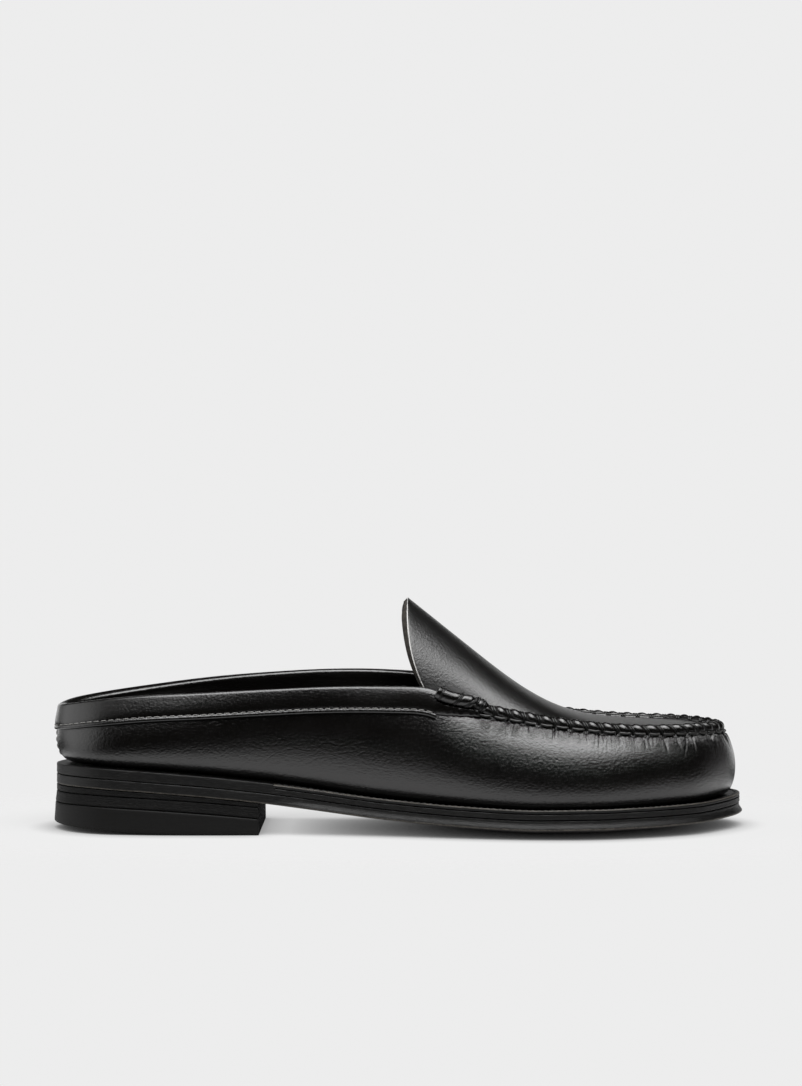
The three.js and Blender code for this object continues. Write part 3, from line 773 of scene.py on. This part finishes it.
def makeWelt():
    start = rowAtX(shoe["heelLength"] + 2 * shoe["weltRun"])
    rows = evenRows(outline, start, loopRows - start, 0.8)
    thick = shoe["weltThick"]
    top = [(1.95, 1.6), (2.5, 1.6), (2.75, 1.42), (3.0, 1.36), (3.25, 1.42), (3.5, 1.6), (5.5, 1.6),
           (7.6, 1.6), (shoe["ledge"] + shoe["wall"] + shoe["gap"], 1.6)]
    under = [(shoe["ledge"] + shoe["wall"] + shoe["gap"], 0.0), (7.6, 0.0), (4.4, 0.0)]
    section = weltRim + top[1:] + under
    rings = []
    for inset, lift in section:
        points = outlineIn(rows, np.full(len(rows), inset))
        points[:, 2] = soleHeight(points[:, 0], points[:, 1], thick) + lift
        rings.append(points)
    rings = np.stack(rings, 1)
    # the welt's inner top is given a lift of 2.2, above the pale band, so the painted highlight stays on the
    # outer rim
    lifts = np.array([lift if inset < 2 or lift < 1 else 2.2 for inset, lift in section])
    mesh = Mesh()
    mesh.grid(rings, 0, False, True, lift=np.broadcast_to(lifts, rings.shape[:2]))
    for row in (0, len(rows) - 1):
        ring = rings[row]
        mesh.add(np.concatenate((ring, [ring.mean(0)])),
                 [[k, (k + 1) % len(ring), len(ring)] for k in range(len(ring))])
    mesh.build("stitchedWelt", [weltEdgeInk], "sole_leather", ["welt"], weld=0.002, sharp=45)


weltStitch = {"inset": 3.0, "lift": 1.5, "pitch": 2.7, "long": 2.2, "thread": 0.26}


def makeWeltStitches():
    start = rowAtX(shoe["heelLength"] + 2 * shoe["weltRun"]) + 0.04
    rows = evenRows(outline, start, loopRows - start, 0.45)
    line = outlineIn(rows, np.full(len(rows), weltStitch["inset"]))
    line[:, 2] = soleHeight(line[:, 0], line[:, 1], shoe["weltThick"]) + weltStitch["lift"]
    run = np.concatenate(([0], np.cumsum(np.linalg.norm(np.diff(line, axis=0), axis=1))))
    share = np.linspace(0, 1, 6)
    arch = np.array([-0.2, 0.05, 0.12, 0.12, 0.05, -0.2])
    mesh = Mesh()
    for begin in np.arange(0.4, run[-1] - weltStitch["long"], weltStitch["pitch"]):
        at = begin + share * weltStitch["long"]
        path = np.stack([np.interp(at, run, line[:, k]) for k in range(3)], -1) + arch[:, None] * [0, 0, 1]
        thread(mesh, path, weltStitch["thread"], taper=0.3)
    mesh.build("weltStitches", [blackThread], "sole_leather", sharp=None)


def makeFootbed():
    inset = shoe["ledge"] + shoe["wall"] + 2 * shoe["gap"]
    rows = np.concatenate(([0, 0.05, 0.12], evenRows(outline, 0, lastRow, 2.0)[1:-1],
                           [lastRow - 0.05, lastRow]))
    shares = np.concatenate(([0, 0.004, 0.016, 0.04], np.linspace(0.08, 0.92, 27),
                             [0.96, 0.984, 0.996, 1]))
    sides = [outlineIn(rows, np.full(len(rows), inset)),
             outlineIn(loopRows - rows, np.full(len(rows), inset))]
    above = sides[0][:, None] + (sides[1] - sides[0])[:, None] * shares[None, :, None]
    below = above.copy()
    edgeDrop = 0.5 * (1 - ease(np.minimum(shares, 1 - shares), 0, 0.016))
    under = shoe["weltThick"] + shoe["gap"]
    start = shoe["heelLength"] + shoe["weltRun"]
    above[..., 2] = soleHeight(above[..., 0], above[..., 1], -shoe["gap"] - shoe["insoleThick"])
    above[..., 2] -= edgeDrop
    below[..., 2] = soleHeight(below[..., 0], below[..., 1],
                               under * ease(below[..., 0], start, start + shoe["weltRun"])
                               - shoe["gap"])
    mesh = Mesh()
    mesh.grid(np.concatenate((above, below[:, ::-1]), 1), 0, False, True)
    mesh.build("footbed", [sockLeather], "sock_leather", ["insole"], weld=0.002, sharp=50)


makeSole()
makeWelt()
makeWeltStitches()
makeFootbed()

# The wall of the upper

gathers = {"pitch": 6.45, "start": 9.75, "perStitch": 4, "depth": 0.8, "long": 6.5,
           "recess": 1.15, "recessReach": 2.7, "groove": 0.5, "grooveAt": 4.2, "grooveWide": 0.55,
           "puff": 0.45, "puffAt": 5.5}
wallMesh = {"backStep": 1.7, "frontStep": 0.26, "heights": 60, "insideHeights": 8}
random.seed(7)
draw = np.random.default_rng(11)

seamRows = evenRows(topLine, 8.0, loopRows - 8.0, 0.25)
seamRun = np.concatenate(([0], np.cumsum(np.linalg.norm(np.diff(topLine(seamRows), axis=0), axis=1))))
seamLength = float(np.interp(loopRows - gathers["start"], seamRows, seamRun)
                   - np.interp(gathers["start"], seamRows, seamRun))
stitchCount = round(seamLength / gathers["pitch"])
pitch = seamLength / stitchCount
seamZero = float(np.interp(gathers["start"], seamRows, seamRun))


def runAt(rows):  # millimetres along the toe seam from its outer end
    return np.interp(rows, seamRows, seamRun) - seamZero


def rowAtRun(run):
    return np.interp(np.asarray(run, float) + seamZero, seamRun, seamRows)


def gatherCreases():  # place along the seam, lean, length, width and depth of each crease
    creases = []
    for k in range(-1, stitchCount + 1):
        for j in range(gathers["perStitch"]):
            place = (k + (j + draw.uniform(0.1, 0.9)) / gathers["perStitch"]) * pitch
            creases.append((place, draw.normal(0, 0.16), gathers["long"] * draw.uniform(0.45, 1.25),
                            draw.uniform(0.32, 0.48), gathers["depth"] * draw.uniform(0.5, 1.4)))
        creases.append(((k + draw.uniform(-0.08, 0.08)) * pitch, draw.normal(0, 0.1),
                        gathers["long"] * 1.0, 0.6, 0.6))
    return creases


def seamHollow(below):  # the wall sinks beside the seam, with a groove under the row of threads
    return (gathers["recess"] * np.exp(-(below / gathers["recessReach"]) ** 2)
            + gathers["groove"] * np.exp(-((below - gathers["grooveAt"]) / gathers["grooveWide"]) ** 2))


def heightBelow(rows, below):  # share of the wall's height at a distance below the seam
    v = np.linspace(1, 0.4, 90) ** 0.6
    line = wallSkin(rows[:, None], v[None, :])
    climb = np.cumsum(np.linalg.norm(np.diff(line, axis=1), axis=2), axis=1)
    climb = np.concatenate((np.zeros((len(rows), 1)), climb), 1)
    return np.array([np.interp(below, single, v) for single in climb])


# The big folds: run along the seam, distance below it where they start, lean, length, width, depth
longFolds = [(17.0, 3.0, 0.3, 7.0, 0.7, 0.55), (12.4, 3.0, 0.5, 4.0, 0.7, 0.3),
             (19.4, 3.0, 0.15, 6.0, 0.6, 0.32), (22.0, 3.0, 0.2, 5.0, 0.6, 0.25)]


def gatherDepth(run, below):
    depth = np.zeros(np.shape(run))
    for place, lean, long, wide, deep in gatherCreases():
        across = (run - place + lean * below) / wide
        near = np.abs(across) < 4
        if near.any():
            fade = np.exp(-(below[near] / long) ** 2)
            depth[near] += deep * fade * np.exp(-across[near] ** 2)
    for place, start, lean, long, wide, deep in longFolds:
        across = (run - place + lean * below) / wide
        near = np.abs(across) < 4
        fade = np.exp(-((below[near] - start - long / 3) / (long * 0.6)) ** 2)
        depth[near] += deep * fade * (np.exp(-across[near] ** 2)
                                      - 0.55 * np.exp(-(across[near] - 1.6) ** 2 / 1.4))
    return depth


def makeWall():
    back = wallMesh["backStep"]
    rows = np.concatenate((
        evenRows(topLine, -8.2, 8.2, back)[:-1],
        evenRows(lambda row: wallSkin(row, 0.6), 8.2, loopRows - 8.2, wallMesh["frontStep"])[:-1]))
    perMm = float(np.min(np.abs(rows[rows > 0]))) / back  # stations a millimetre at the heel's middle
    beside = np.array([-1.2, -0.7, -0.4, -0.2, 0, 0.2, 0.4, 0.7, 1.2])
    rows = np.sort(np.concatenate((rows[np.abs(rows) > 1.6 * perMm], beside * perMm)))
    up = np.linspace(0, 1, wallMesh["heights"]) ** 0.85
    up = up * 0.35 + (1 - (1 - up) ** 1.5) * 0.65
    grid = wallPoint(rows[:, None], up[None, :], 0.0)
    climb = np.linalg.norm(np.diff(grid, axis=1), axis=2)
    below = np.concatenate((np.cumsum(climb[:, ::-1], axis=1)[:, ::-1], np.zeros((len(rows), 1))), 1)
    run = np.broadcast_to(runAt(rows)[:, None], grid.shape[:2])
    full = ease(run, -4, 3) * (1 - ease(run, seamLength - 3, seamLength + 4))
    between = np.abs(np.sin(math.pi * run / pitch)) - 0.6  # the leather swells between the stitches
    swell = gathers["puff"] * between * np.exp(-((below - gathers["puffAt"]) / 3.0) ** 2)
    depth = (gatherDepth(run, below) + seamHollow(below) - swell) * full
    depth = depth + 0.35 * np.exp(-(rows / perMm / 0.35) ** 2)[:, None]  # the back seam
    outer = grid - wallNormal(rows[:, None], up[None, :]) * depth[..., None]
    inUp = np.linspace(0, 1, wallMesh["insideHeights"])
    inner = wallPoint(rows[:, None], inUp[None, :], shoe["wall"])
    mesh = Mesh()
    mesh.grid(outer, 0, True, False, run=run, below=below, gather=full)
    mesh.grid(inner, 1, True, False)
    mesh.grid(np.stack((outer[:, 0], inner[:, 0]), 1), 1, True, False)
    mesh.grid(np.stack((outer[:, -1], inner[:, -1]), 1), 0, True, False, run=run[:, :2] * 1.0,
              below=np.zeros((len(rows), 2)), gather=np.zeros((len(rows), 2)))
    mesh.build("quarterWall", [calfWall, upperLining], "upper_leather", ["upper"], sharp=60)


def skinNormals(grid):
    along, across = np.gradient(grid, axis=0), np.gradient(grid, axis=1)
    return unit(np.cross(along, across))


plugMesh = {"rows": 210, "across": 150, "soften": 9, "bevel": 1.9}


def evenedOut(skin, across):  # takes the small waves out of the plug, away from its edges
    reach = 3 * plugMesh["soften"]
    weights = np.exp(-0.5 * (np.arange(-reach, reach + 1) / plugMesh["soften"]) ** 2)
    padded = np.concatenate((2 * skin[:1] - skin[reach:0:-1], skin, 2 * skin[-1:] - skin[-2:-reach - 2:-1]))
    soft = sum(w * padded[k:k + len(skin)] for k, w in enumerate(weights)) / weights.sum()
    keep = np.abs(across)[None, :, None] ** 8
    return mix(soft, skin, keep)


def makeTongue():
    share = np.linspace(0, 1, plugMesh["rows"])
    rows = mix(shoe["tongueRow"], lastRow, 1 - (1 - share) ** 1.35)
    rows[-1] = lastRow - 0.02
    across = np.sin(np.linspace(-1, 1, plugMesh["across"]) * math.pi / 2)
    across = across * 0.35 + np.linspace(-1, 1, plugMesh["across"]) * 0.65
    skin = plugSkin(rows[:, None], across[None, :])
    skin = evenedOut(skin, across)
    normals = skinNormals(skin)
    under = skin - normals * shoe["plugThick"]
    mesh = Mesh()
    mesh.grid(skin, 0)
    mesh.grid(under, 1)
    # The cut edge: the grain side stands a little proud of the fibrous core
    ahead = unit(skin[0] - skin[1])
    section = [(0.0, 0.0), (0.03, 0.16), (0.08, 0.26), (0.14, 0.2), (0.18, 0.12), (0.3, 0.3),
               (0.5, 0.62), (0.72, 0.86), (0.9, 0.98), (1.0, 1.0), (1.04, 0.9), (1.0, 0.0)]
    bevel = plugMesh["bevel"] * (0.12 + 0.88 * ease(np.abs(across), 0.08, 0.4))
    rim = np.stack([skin[0] - normals[0] * shoe["plugThick"] * deep + ahead * (out * bevel)[:, None]
                    for deep, out in section], 1)
    mesh.grid(rim, 2, cut=np.broadcast_to([deep for deep, out in section], rim.shape[:2]))
    for side in (0, -1):
        mesh.grid(np.stack((skin[:, side], under[:, side]), 1), 0)
    mesh.build("plugAndTongue", [calfUpper, upperLining, tongueCut], "upper_leather", ["upper"],
               sharp=55)


seam = {"radius": 2.7, "start": 8.75, "steps": 16, "sides": 24, "depth": 0.5, "rise": -0.1,
        "full": (9.5, 9.88), "pinch": 0.5, "bead": 0.64, "round": 0.9, "slant": 0.16, "wrap": 0.46,
        "apart": 0.5, "chain": 0.62, "chainBelow": 3.3, "lip": 0.34}


def ridgeFrame(rows):  # the middle of the raised seam, with its outward and upward directions
    full = ease(stationRow(rows), *seam["full"])
    radius = mix(1.8, seam["radius"], full)
    depth = mix(shoe["throatTuck"] - 1, seam["depth"], full)
    centre = wallPoint(rows, 1.0, depth)
    centre[..., 2] += mix(-1.2 * radius, seam["rise"], full)
    ahead = unit(ridgeCentreStep(rows, nearStep) - ridgeCentreStep(rows, -nearStep))
    out = unit(np.stack([ahead[..., 1], -ahead[..., 0], np.zeros(np.shape(rows))], -1))
    return centre, out, unit(np.cross(out, ahead)), ahead, radius


def ridgeCentreStep(rows, step):
    return wallPoint(rows + step, 1.0, 1.0)


def ridgePoint(rows, turns, lift=0.0):  # on the seam's beads: turn 0 faces out, a quarter turn up
    rows, turns = np.broadcast_arrays(np.asarray(rows, float), np.asarray(turns, float))
    centre, out, up, ahead, radius = ridgeFrame(rows)
    run = runAt(rows)
    stitched = ease(run, -0.5, 0.5) * (1 - ease(run, seamLength - 0.5, seamLength + 0.5))
    turn = np.mod(turns + math.pi, 2 * math.pi) - math.pi
    bead = np.abs(np.sin(math.pi * (run / pitch + seam["slant"] * (turn - 0.7)))) ** seam["round"]
    face = np.maximum(0, np.cos(turn - 0.75)) ** 0.6
    swell = 1 + stitched * face * (seam["bead"] * bead - seam["pinch"])
    reach = (radius * swell + lift)[..., None]
    return centre + (out * np.cos(turns)[..., None] + up * np.sin(turns)[..., None]) * reach


def makeSeam():
    rows = np.concatenate((
        np.linspace(seam["start"], gathers["start"], 12)[:-1],
        rowAtRun(np.linspace(0, seamLength, stitchCount * seam["steps"] + 1)),
        np.linspace(loopRows - gathers["start"], loopRows - seam["start"], 12)[1:]))
    turns = np.linspace(0, 2 * math.pi, seam["sides"], endpoint=False)
    mesh = Mesh()
    mesh.grid(ridgePoint(rows[:, None], turns[None, :]), 0, False, True)
    mesh.cap(0, seam["sides"])
    mesh.cap(mesh.count - seam["sides"], seam["sides"])
    # The plug's folded edge shows as a fine lip on the inner side
    lipRows = rowAtRun(np.linspace(1.0, seamLength - 1.0, stitchCount * 8))
    lip = ridgePoint(lipRows, np.full(len(lipRows), math.radians(140)), 0.1)
    tube(mesh, lip, seam["lip"], 6)
    mesh.build("raisedSeam", [calfFolded], "upper_leather", ["upper"], sharp=None)


def makeSeamThreads():
    wraps, chain = Mesh(), Mesh()
    turns = np.radians(np.linspace(-48, 168, 15))
    share = np.linspace(0, 1, 9)
    for k in range(stitchCount + 1):
        for side in (-1, 1):
            run = (k - seam["slant"] * (turns - 0.7)) * pitch + side * seam["apart"]
            rows = rowAtRun(run)
            path = ridgePoint(rows, turns, seam["wrap"] * 0.45)
            thread(wraps, path, seam["wrap"], up=unit(ridgeFrame(rows)[3]), taper=0.2)
    for k in range(stitchCount):
        rows = rowAtRun((k + 0.1 + 0.8 * share) * pitch)
        below = seam["chainBelow"] + 0.35 * np.sin(math.pi * share)
        v = np.array([heightBelow(rows[i:i + 1], below[i])[0] for i in range(len(rows))])
        path = wallPoint(rows, v, seamHollow(below) - seam["chain"] * 0.9)
        thread(chain, path, seam["chain"], 8, up=wallNormal(rows, v), flat=0.85)
    wraps.build("seamWraps", [blackThread], "upper_leather", sharp=None)
    chain.build("seamChain", [chainThread], "upper_leather", sharp=None)


makeWall()
makeTongue()
makeSeam()
makeSeamThreads()

# The collar band and the throat rolls

band = {"drop": 9.0, "inside": 7.0, "stitchDrop": 7.2, "row": 8.4, "pitch": 3.3, "stitch": 2.6,
        "thread": 0.24, "steepen": 1.7}
bandFace = [(8.95, 0.35), (9.0, 0.75), (8.88, 1.15), (8.6, 1.36), (8.2, 1.44), (7.8, 1.4),
            (7.5, 1.26), (7.2, 1.14), (6.9, 1.26), (6.5, 1.42), (5.6, 1.56), (4.4, 1.62), (3.0, 1.64),
            (1.8, 1.62), (0.8, 1.58)]
bandBack = [(0.8, 1.55), (2.0, 1.5), (3.5, 1.48), (5.0, 1.46), (6.0, 1.44), (6.6, 1.35),
            (6.95, 1.1), (7.0, 0.7), (6.95, 0.45)]


def bandPath(rows):
    top, foot = wallSkin(rows, 1.0), wallSkin(rows, 0.0)
    span = np.linalg.norm(top - foot, axis=-1)
    up = unit(top - wallSkin(rows, 1 - nearStep))
    out = wallNormal(rows, 1.0)
    shift = band["steepen"] * ease(np.abs(rows), 6.6, 8.3)
    points = [wallPoint(rows, 1 - drop / span, -(spread + shift * (1 - drop / band["drop"])))
              for drop, spread in bandFace]
    half = shoe["wall"] / 2 + 1.55
    for turn in np.radians([8, 22, 36, 50, 66, 90, 115, 135, 155, 172]):
        reach, rise = abs(math.cos(turn)) ** 0.6, math.sin(turn) ** 0.6
        side = (half + shift) * reach if turn < math.pi / 2 else -half * reach + shift * 0
        points.append(top - out * (shoe["wall"] / 2 - side)[..., None] + up * 2.3 * rise)
    points += [wallPoint(rows, 1 - drop / span, shoe["wall"] + spread) for drop, spread in bandBack]
    inner = [(6.9, 0.38), (3.0, 0.38), (0.0, 0.38)]
    points += [wallPoint(rows, 1 - drop / span, shoe["wall"] + spread) for drop, spread in inner]
    points.append(top - out * shoe["wall"] / 2 + up * 0.6)
    points += [wallPoint(rows, 1 - drop / span, -spread) for drop, spread in
               [(0.0, 0.38), (3.0, 0.38), (8.9, 0.3)]]
    return np.stack(points, -2)


def makeBand():
    rows = evenRows(topLine, -band["row"], band["row"], 1.2)
    rings = bandPath(rows)
    mesh = Mesh()
    mesh.grid(rings, 0, False, True)
    for row in (0, len(rows) - 1):
        ring = rings[row]
        mesh.add(np.concatenate((ring, [ring[:15].mean(0)])),
                 [[k, (k + 1) % len(ring), len(ring)] for k in range(len(ring))])
    mesh.build("collarBinding", [calfFolded], "upper_leather", ["collar_band"], sharp=50)


def makeBandStitches():
    mesh = Mesh()
    rows = evenRows(topLine, -band["row"] + 0.06, band["row"] - 0.06, 0.55)
    run = np.concatenate(([0], np.cumsum(np.linalg.norm(np.diff(topLine(rows), axis=0), axis=1))))
    share = np.linspace(0, 1, 6)
    sink = np.array([-0.16, 0.12, 0.2, 0.2, 0.12, -0.16])
    for drop, base, side in ((band["stitchDrop"], 1.14, -1), (6.2, 1.44, 1)):
        for start in np.arange(0.6, run[-1] - band["stitch"], band["pitch"]):
            at = np.interp(start + share * band["stitch"], run, rows)
            span = np.linalg.norm(wallSkin(at, 1.0) - wallSkin(at, 0.0), axis=-1)
            out = base + sink + band["steepen"] * ease(np.abs(at), 6.6, 8.3) * (1 - drop / band["drop"])
            depth = -out if side < 0 else shoe["wall"] + base + sink
            thread(mesh, wallPoint(at, 1 - drop / span, depth), band["thread"], taper=0.3)
    mesh.build("collarStitches", [paintedSheenGreyThread], "upper_leather", sharp=None)


backStitch = {"beside": 1.7, "low": 0.12, "high": 0.78, "pitch": 3.0, "long": 2.3, "thread": 0.24}


def makeBackStitches():
    near = evenRows(topLine, 0, 1, backStitch["beside"])[1]
    v = np.linspace(backStitch["low"], backStitch["high"], 200)
    share = np.linspace(0, 1, 6)
    sink = np.array([0.16, -0.1, -0.16, -0.16, -0.1, 0.16])
    mesh = Mesh()
    for row in (near, -near):
        line = wallSkin(np.full(200, row), v)
        run = np.concatenate(([0], np.cumsum(np.linalg.norm(np.diff(line, axis=0), axis=1))))
        for begin in np.arange(0, run[-1] - backStitch["long"], backStitch["pitch"]):
            at = np.interp(begin + share * backStitch["long"], run, v)
            thread(mesh, wallPoint(np.full(6, row), at, sink), backStitch["thread"], up=(1, 0, 0), taper=0.3)
    mesh.build("backSeamStitches", [paintedSheenGreyThread], "upper_leather", sharp=None)


facing = {"start": 8.36, "end": 9.8, "from": 51.6, "to": 50.2}
# Share of the drop, and how far out of the lower edge it stands
facingSection = [(1.0, -0.6), (1.0, 0.35), (0.93, 0.6), (0.8, 0.75), (0.6, 0.8), (0.4, 0.85), (0.2, 0.6),
                 (0.1, -1.0), (0.7, -2.4)]


def makeFacing(side, name):  # the collar's leather runs on under the roll to the toe seam
    rows = np.linspace(facing["start"], facing["end"], 60)
    top, foot = wallSkin(rows * side, 1.0), wallSkin(rows * side, 0.0)
    span = np.linalg.norm(top - foot, axis=-1)
    drop = top[:, 2] - mix(facing["from"], facing["to"], (rows - rows[0]) / (rows[-1] - rows[0]))
    waves = 0.3 * np.sin(rows * 31 + 1.2 * np.sin(rows * 13)) * ease(rows, 8.6, 9.0)
    drop = drop * span / (top - foot)[:, 2]
    low = wallPoint(rows * side, 1 - drop / span, -0.3)
    level = -outlineNormal(rows * side)
    ring = np.stack([low + level * (out + waves * share)[:, None]
                     + (top - low) * [0, 0, 1] * (1 - share) for share, out in facingSection], 1)
    mesh = Mesh()
    mesh.grid(ring)
    mesh.build(name, [calfFolded], "upper_leather", sharp=50)


roll = {"start": 8.5, "end": 9.72, "radius": 2.95, "tip": 2.85, "sides": 28, "steps": 90,
        "out": (2.4, 1.9), "rise": (2.9, 2.3),
        "ties": (0.21, 0.66, 0.93), "lean": (0.0, 0.07, 0.12), "thread": 0.4, "apart": 0.016}


def rollLine(side, shares):
    rows = mix(roll["start"], roll["end"], shares)
    radius = mix(roll["radius"], roll["tip"], shares)
    centre = wallSkin(side * rows, 1.0) - outlineNormal(side * rows) * mix(*roll["out"], shares)[:, None]
    centre[..., 2] += mix(*roll["rise"], shares)
    ahead = unit(np.gradient(centre, axis=0))
    out = unit(np.stack([ahead[:, 1], -ahead[:, 0], np.zeros(len(ahead))], -1)) * side
    return centre, out, unit(np.cross(out, ahead) * side), radius


def rollPoints(side, shares, turns, lift=0.0):
    fine = np.linspace(0, 1, 200)
    line = rollLine(side, fine)
    centre, out, up = [np.stack([np.interp(shares, fine, part[:, k]) for k in range(3)], -1)
                       for part in line[:3]]
    radius = np.interp(shares, fine, line[3])
    ends = (ease(shares, 0, 0.025) * 0.22 + 0.78) * (1 - 0.35 * ease(shares, 0.9, 1))
    tied = sum(np.exp(-((shares - tie - lean * np.sin(turns)) / 0.035) ** 2)
               for tie, lean in zip(roll["ties"], roll["lean"]))
    reach = radius * ends * (1 - 0.13 * tied) + lift
    return (centre + out * (np.cos(turns) * reach)[..., None] + up * (np.sin(turns) * reach)[..., None])


def makeRoll(side, name, node):
    shares = np.linspace(0, 1, roll["steps"])
    turns = np.linspace(0, 2 * math.pi, roll["sides"], endpoint=False)
    grid = np.broadcast_arrays(shares[:, None], turns[None, :])
    mesh = Mesh()
    mesh.grid(rollPoints(side, *grid), 0, False, True)
    mesh.cap(0, roll["sides"])
    mesh.cap(mesh.count - roll["sides"], roll["sides"])
    mesh.build(name, [calfFolded], "upper_leather", [node], sharp=60)


def makeRollThreads():
    mesh = Mesh()
    turns = np.radians(np.linspace(-75, 215, 22))
    for side in (1, -1):
        for tie, lean in zip(roll["ties"], roll["lean"]):
            for apart in (-roll["apart"], roll["apart"]):
                shares = np.clip(tie + apart + lean * np.sin(turns), 0, 1)
                path = rollPoints(side, shares, turns, roll["thread"] * 0.5)
                thread(mesh, path, roll["thread"], up=(1, 0, 0), taper=0.2)
    mesh.build("rollThreads", [blackThread], "upper_leather", sharp=None)


knot = {"row": 9.8, "radius": 3.0, "long": 4.2, "lean": -0.9, "lift": 0.9}


def makeKnot(side, name):  # the last loops, drawn over the end of the roll
    row = np.array([side * knot["row"] % loopRows])
    out, up, ahead = ridgeFrame(row)[1:4]
    middle = wallPoint(row, 1.0, -0.3)[0] + np.array([0, 0, knot["lift"]])
    along = ahead[0] * side
    puff, loops = Mesh(), Mesh()
    share = np.linspace(-1, 1, 17)
    path = middle + along * (share * knot["long"])[:, None] + up[0] * (knot["lean"] * share)[:, None]
    tube(puff, path, knot["radius"] * np.sqrt(np.maximum(0.02, 1 - share ** 2 * 0.98)), 18)
    puff.build("throatEnd" + name, [calfFolded], "upper_leather", sharp=None)
    turns = np.radians(np.linspace(-70, 190, 20))
    for place, lean in ((-0.62, 0.5), (-0.4, 0.5), (0.05, 0.3), (0.3, 0.3)):
        at = place + lean * np.sin(turns) * 0.6
        reach = knot["radius"] * np.sqrt(np.maximum(0.1, 1 - at ** 2)) + roll["thread"] * 0.4
        path = (middle + along * (at * knot["long"])[:, None] + up[0] * (knot["lean"] * at)[:, None]
                + out[0] * (np.cos(turns) * reach)[:, None] + up[0] * (np.sin(turns) * reach)[:, None])
        thread(loops, path, roll["thread"] * 1.1, up=along, taper=0.2)
    loops.build("throatLoops" + name, [blackThread], "upper_leather", sharp=None)


makeBand()
makeRoll(1, "throatRollOuter", "throat_roll_lateral")
makeRoll(-1, "throatRollInner", "throat_roll_medial")
makeRollThreads()
makeBandStitches()
makeBackStitches()
makeFacing(1, "throatFacingOuter")
makeFacing(-1, "throatFacingInner")
makeKnot(1, "Outer")
makeKnot(-1, "Inner")

# The floor, the camera and the light

view = {"place": (0.0007, -1.1995, 0.1432), "down": 0.99, "lens": 92.1, "sensor": 36,
        "backdrop": 0.846}
ground = {"colour": (0.165, 0.165, 0.165, 1), "glow": 0.63, "contact": 0.013, "reach": 0.6,
          "middle": (0.0, 0.01), "halfLength": 0.19, "halfWidth": 0.104, "near": 1.0, "far": 1.6}
# Soft light by direction: towards, half angle of its core and of its edge, strength
glows = [((0.05, -0.38, 0.92), 17, 34, 6.0), ((0.45, -0.25, 0.86), 8, 28, 1.15),
         ((-0.98, 0.0, 0.2), 12, 45, 1.0), ((0.82, 0.54, -0.17), 5, 14, 0.6),
         ((0.74, -0.22, 0.64), 4, 13, 1.8)]
air = {"ambient": 0.012, "back": 0.95, "backLow": 0.12, "backHigh": 0.28}


def makeCamera():
    camera = bpy.data.cameras.new("stillCamera")
    camera.lens, camera.sensor_width, camera.sensor_fit = view["lens"], view["sensor"], "AUTO"
    camera.dof.use_dof = False
    camera.clip_start, camera.clip_end = 0.05, 50
    stand = bpy.data.objects.new("stillCamera", camera)
    bpy.context.scene.collection.objects.link(stand)
    stand.location = view["place"]
    stand.rotation_euler = (math.radians(90 - view["down"]), 0, 0)
    bpy.context.scene.camera = stand
    bpy.context.scene.view_settings.view_transform = "Standard"


def makeFloor():
    mesh = bpy.data.meshes.new("paleFloor")
    work = bmesh.new()
    bmesh.ops.create_grid(work, x_segments=30, y_segments=30, size=ground["reach"])
    work.to_mesh(mesh)
    work.free()
    floor = bpy.data.objects.new("paleFloor", mesh)
    bpy.context.scene.collection.objects.link(floor)
    board = newBoard("paleFloor")
    x, y, z = board.axes(board.place())
    along = (x - ground["middle"][0]) / ground["halfLength"]
    across = (y - ground["middle"][1]) / ground["halfWidth"]
    away = (along ** 2 + across ** 2) ** 0.5
    shown = 1 - board.between(away, ground["near"], ground["far"])
    matt = board.add("ShaderNodeBsdfDiffuse", inputs={"Color": ground["colour"]})
    # The floor glows, and ambient occlusion darkens that glow near the shoe: a painted contact shadow under
    # and beside it
    paintedContactShade = board.add("ShaderNodeAmbientOcclusion", {"samples": 12}, {
        "Distance": ground["contact"]}, output="Color")
    soft = board.add("ShaderNodeEmission", inputs={"Color": paintedContactShade, "Strength": ground["glow"]})
    surface = board.add("ShaderNodeAddShader", inputs={0: matt, 1: soft})
    clear = board.add("ShaderNodeBsdfTransparent")
    blend = board.add("ShaderNodeMixShader", inputs={0: shown, 1: clear, 2: surface})
    board.add("ShaderNodeOutputMaterial", inputs={"Surface": blend})
    mesh.materials.append(board.owner)


def makeAir():
    world = bpy.data.worlds.new("studioAir")
    bpy.context.scene.world = world
    board = Board(world)
    toward = board.add("ShaderNodeTexCoord", output="Generated")
    x, y, z = board.axes(toward)
    seen = board.add("ShaderNodeLightPath", output="Is Camera Ray")
    level = (board.between(y, 0.62, 0.9) * board.between(z, -0.15, -0.02) * air["back"]
             * (1 - board.between(z, air["backLow"], air["backHigh"]))) + air["ambient"]
    for direction, core, rim, strength in glows:
        steer = board.add("ShaderNodeVectorMath", {"operation": "DOT_PRODUCT"}, {
            0: toward, 1: Vector(direction).normalized()}, output="Value")
        level = level + board.between(steer, math.cos(math.radians(rim)),
                                      math.cos(math.radians(core))) * strength
    glow = board.add("ShaderNodeBackground", inputs={"Color": (1, 1, 1, 1), "Strength": level})
    plain = board.add("ShaderNodeBackground", inputs={
        "Color": (view["backdrop"], view["backdrop"], view["backdrop"], 1), "Strength": 1.0})
    both = board.add("ShaderNodeMixShader", inputs={0: seen, 1: glow, 2: plain})
    board.add("ShaderNodeOutputWorld", inputs={"Surface": both})


makeCamera()
makeFloor()
makeAir()
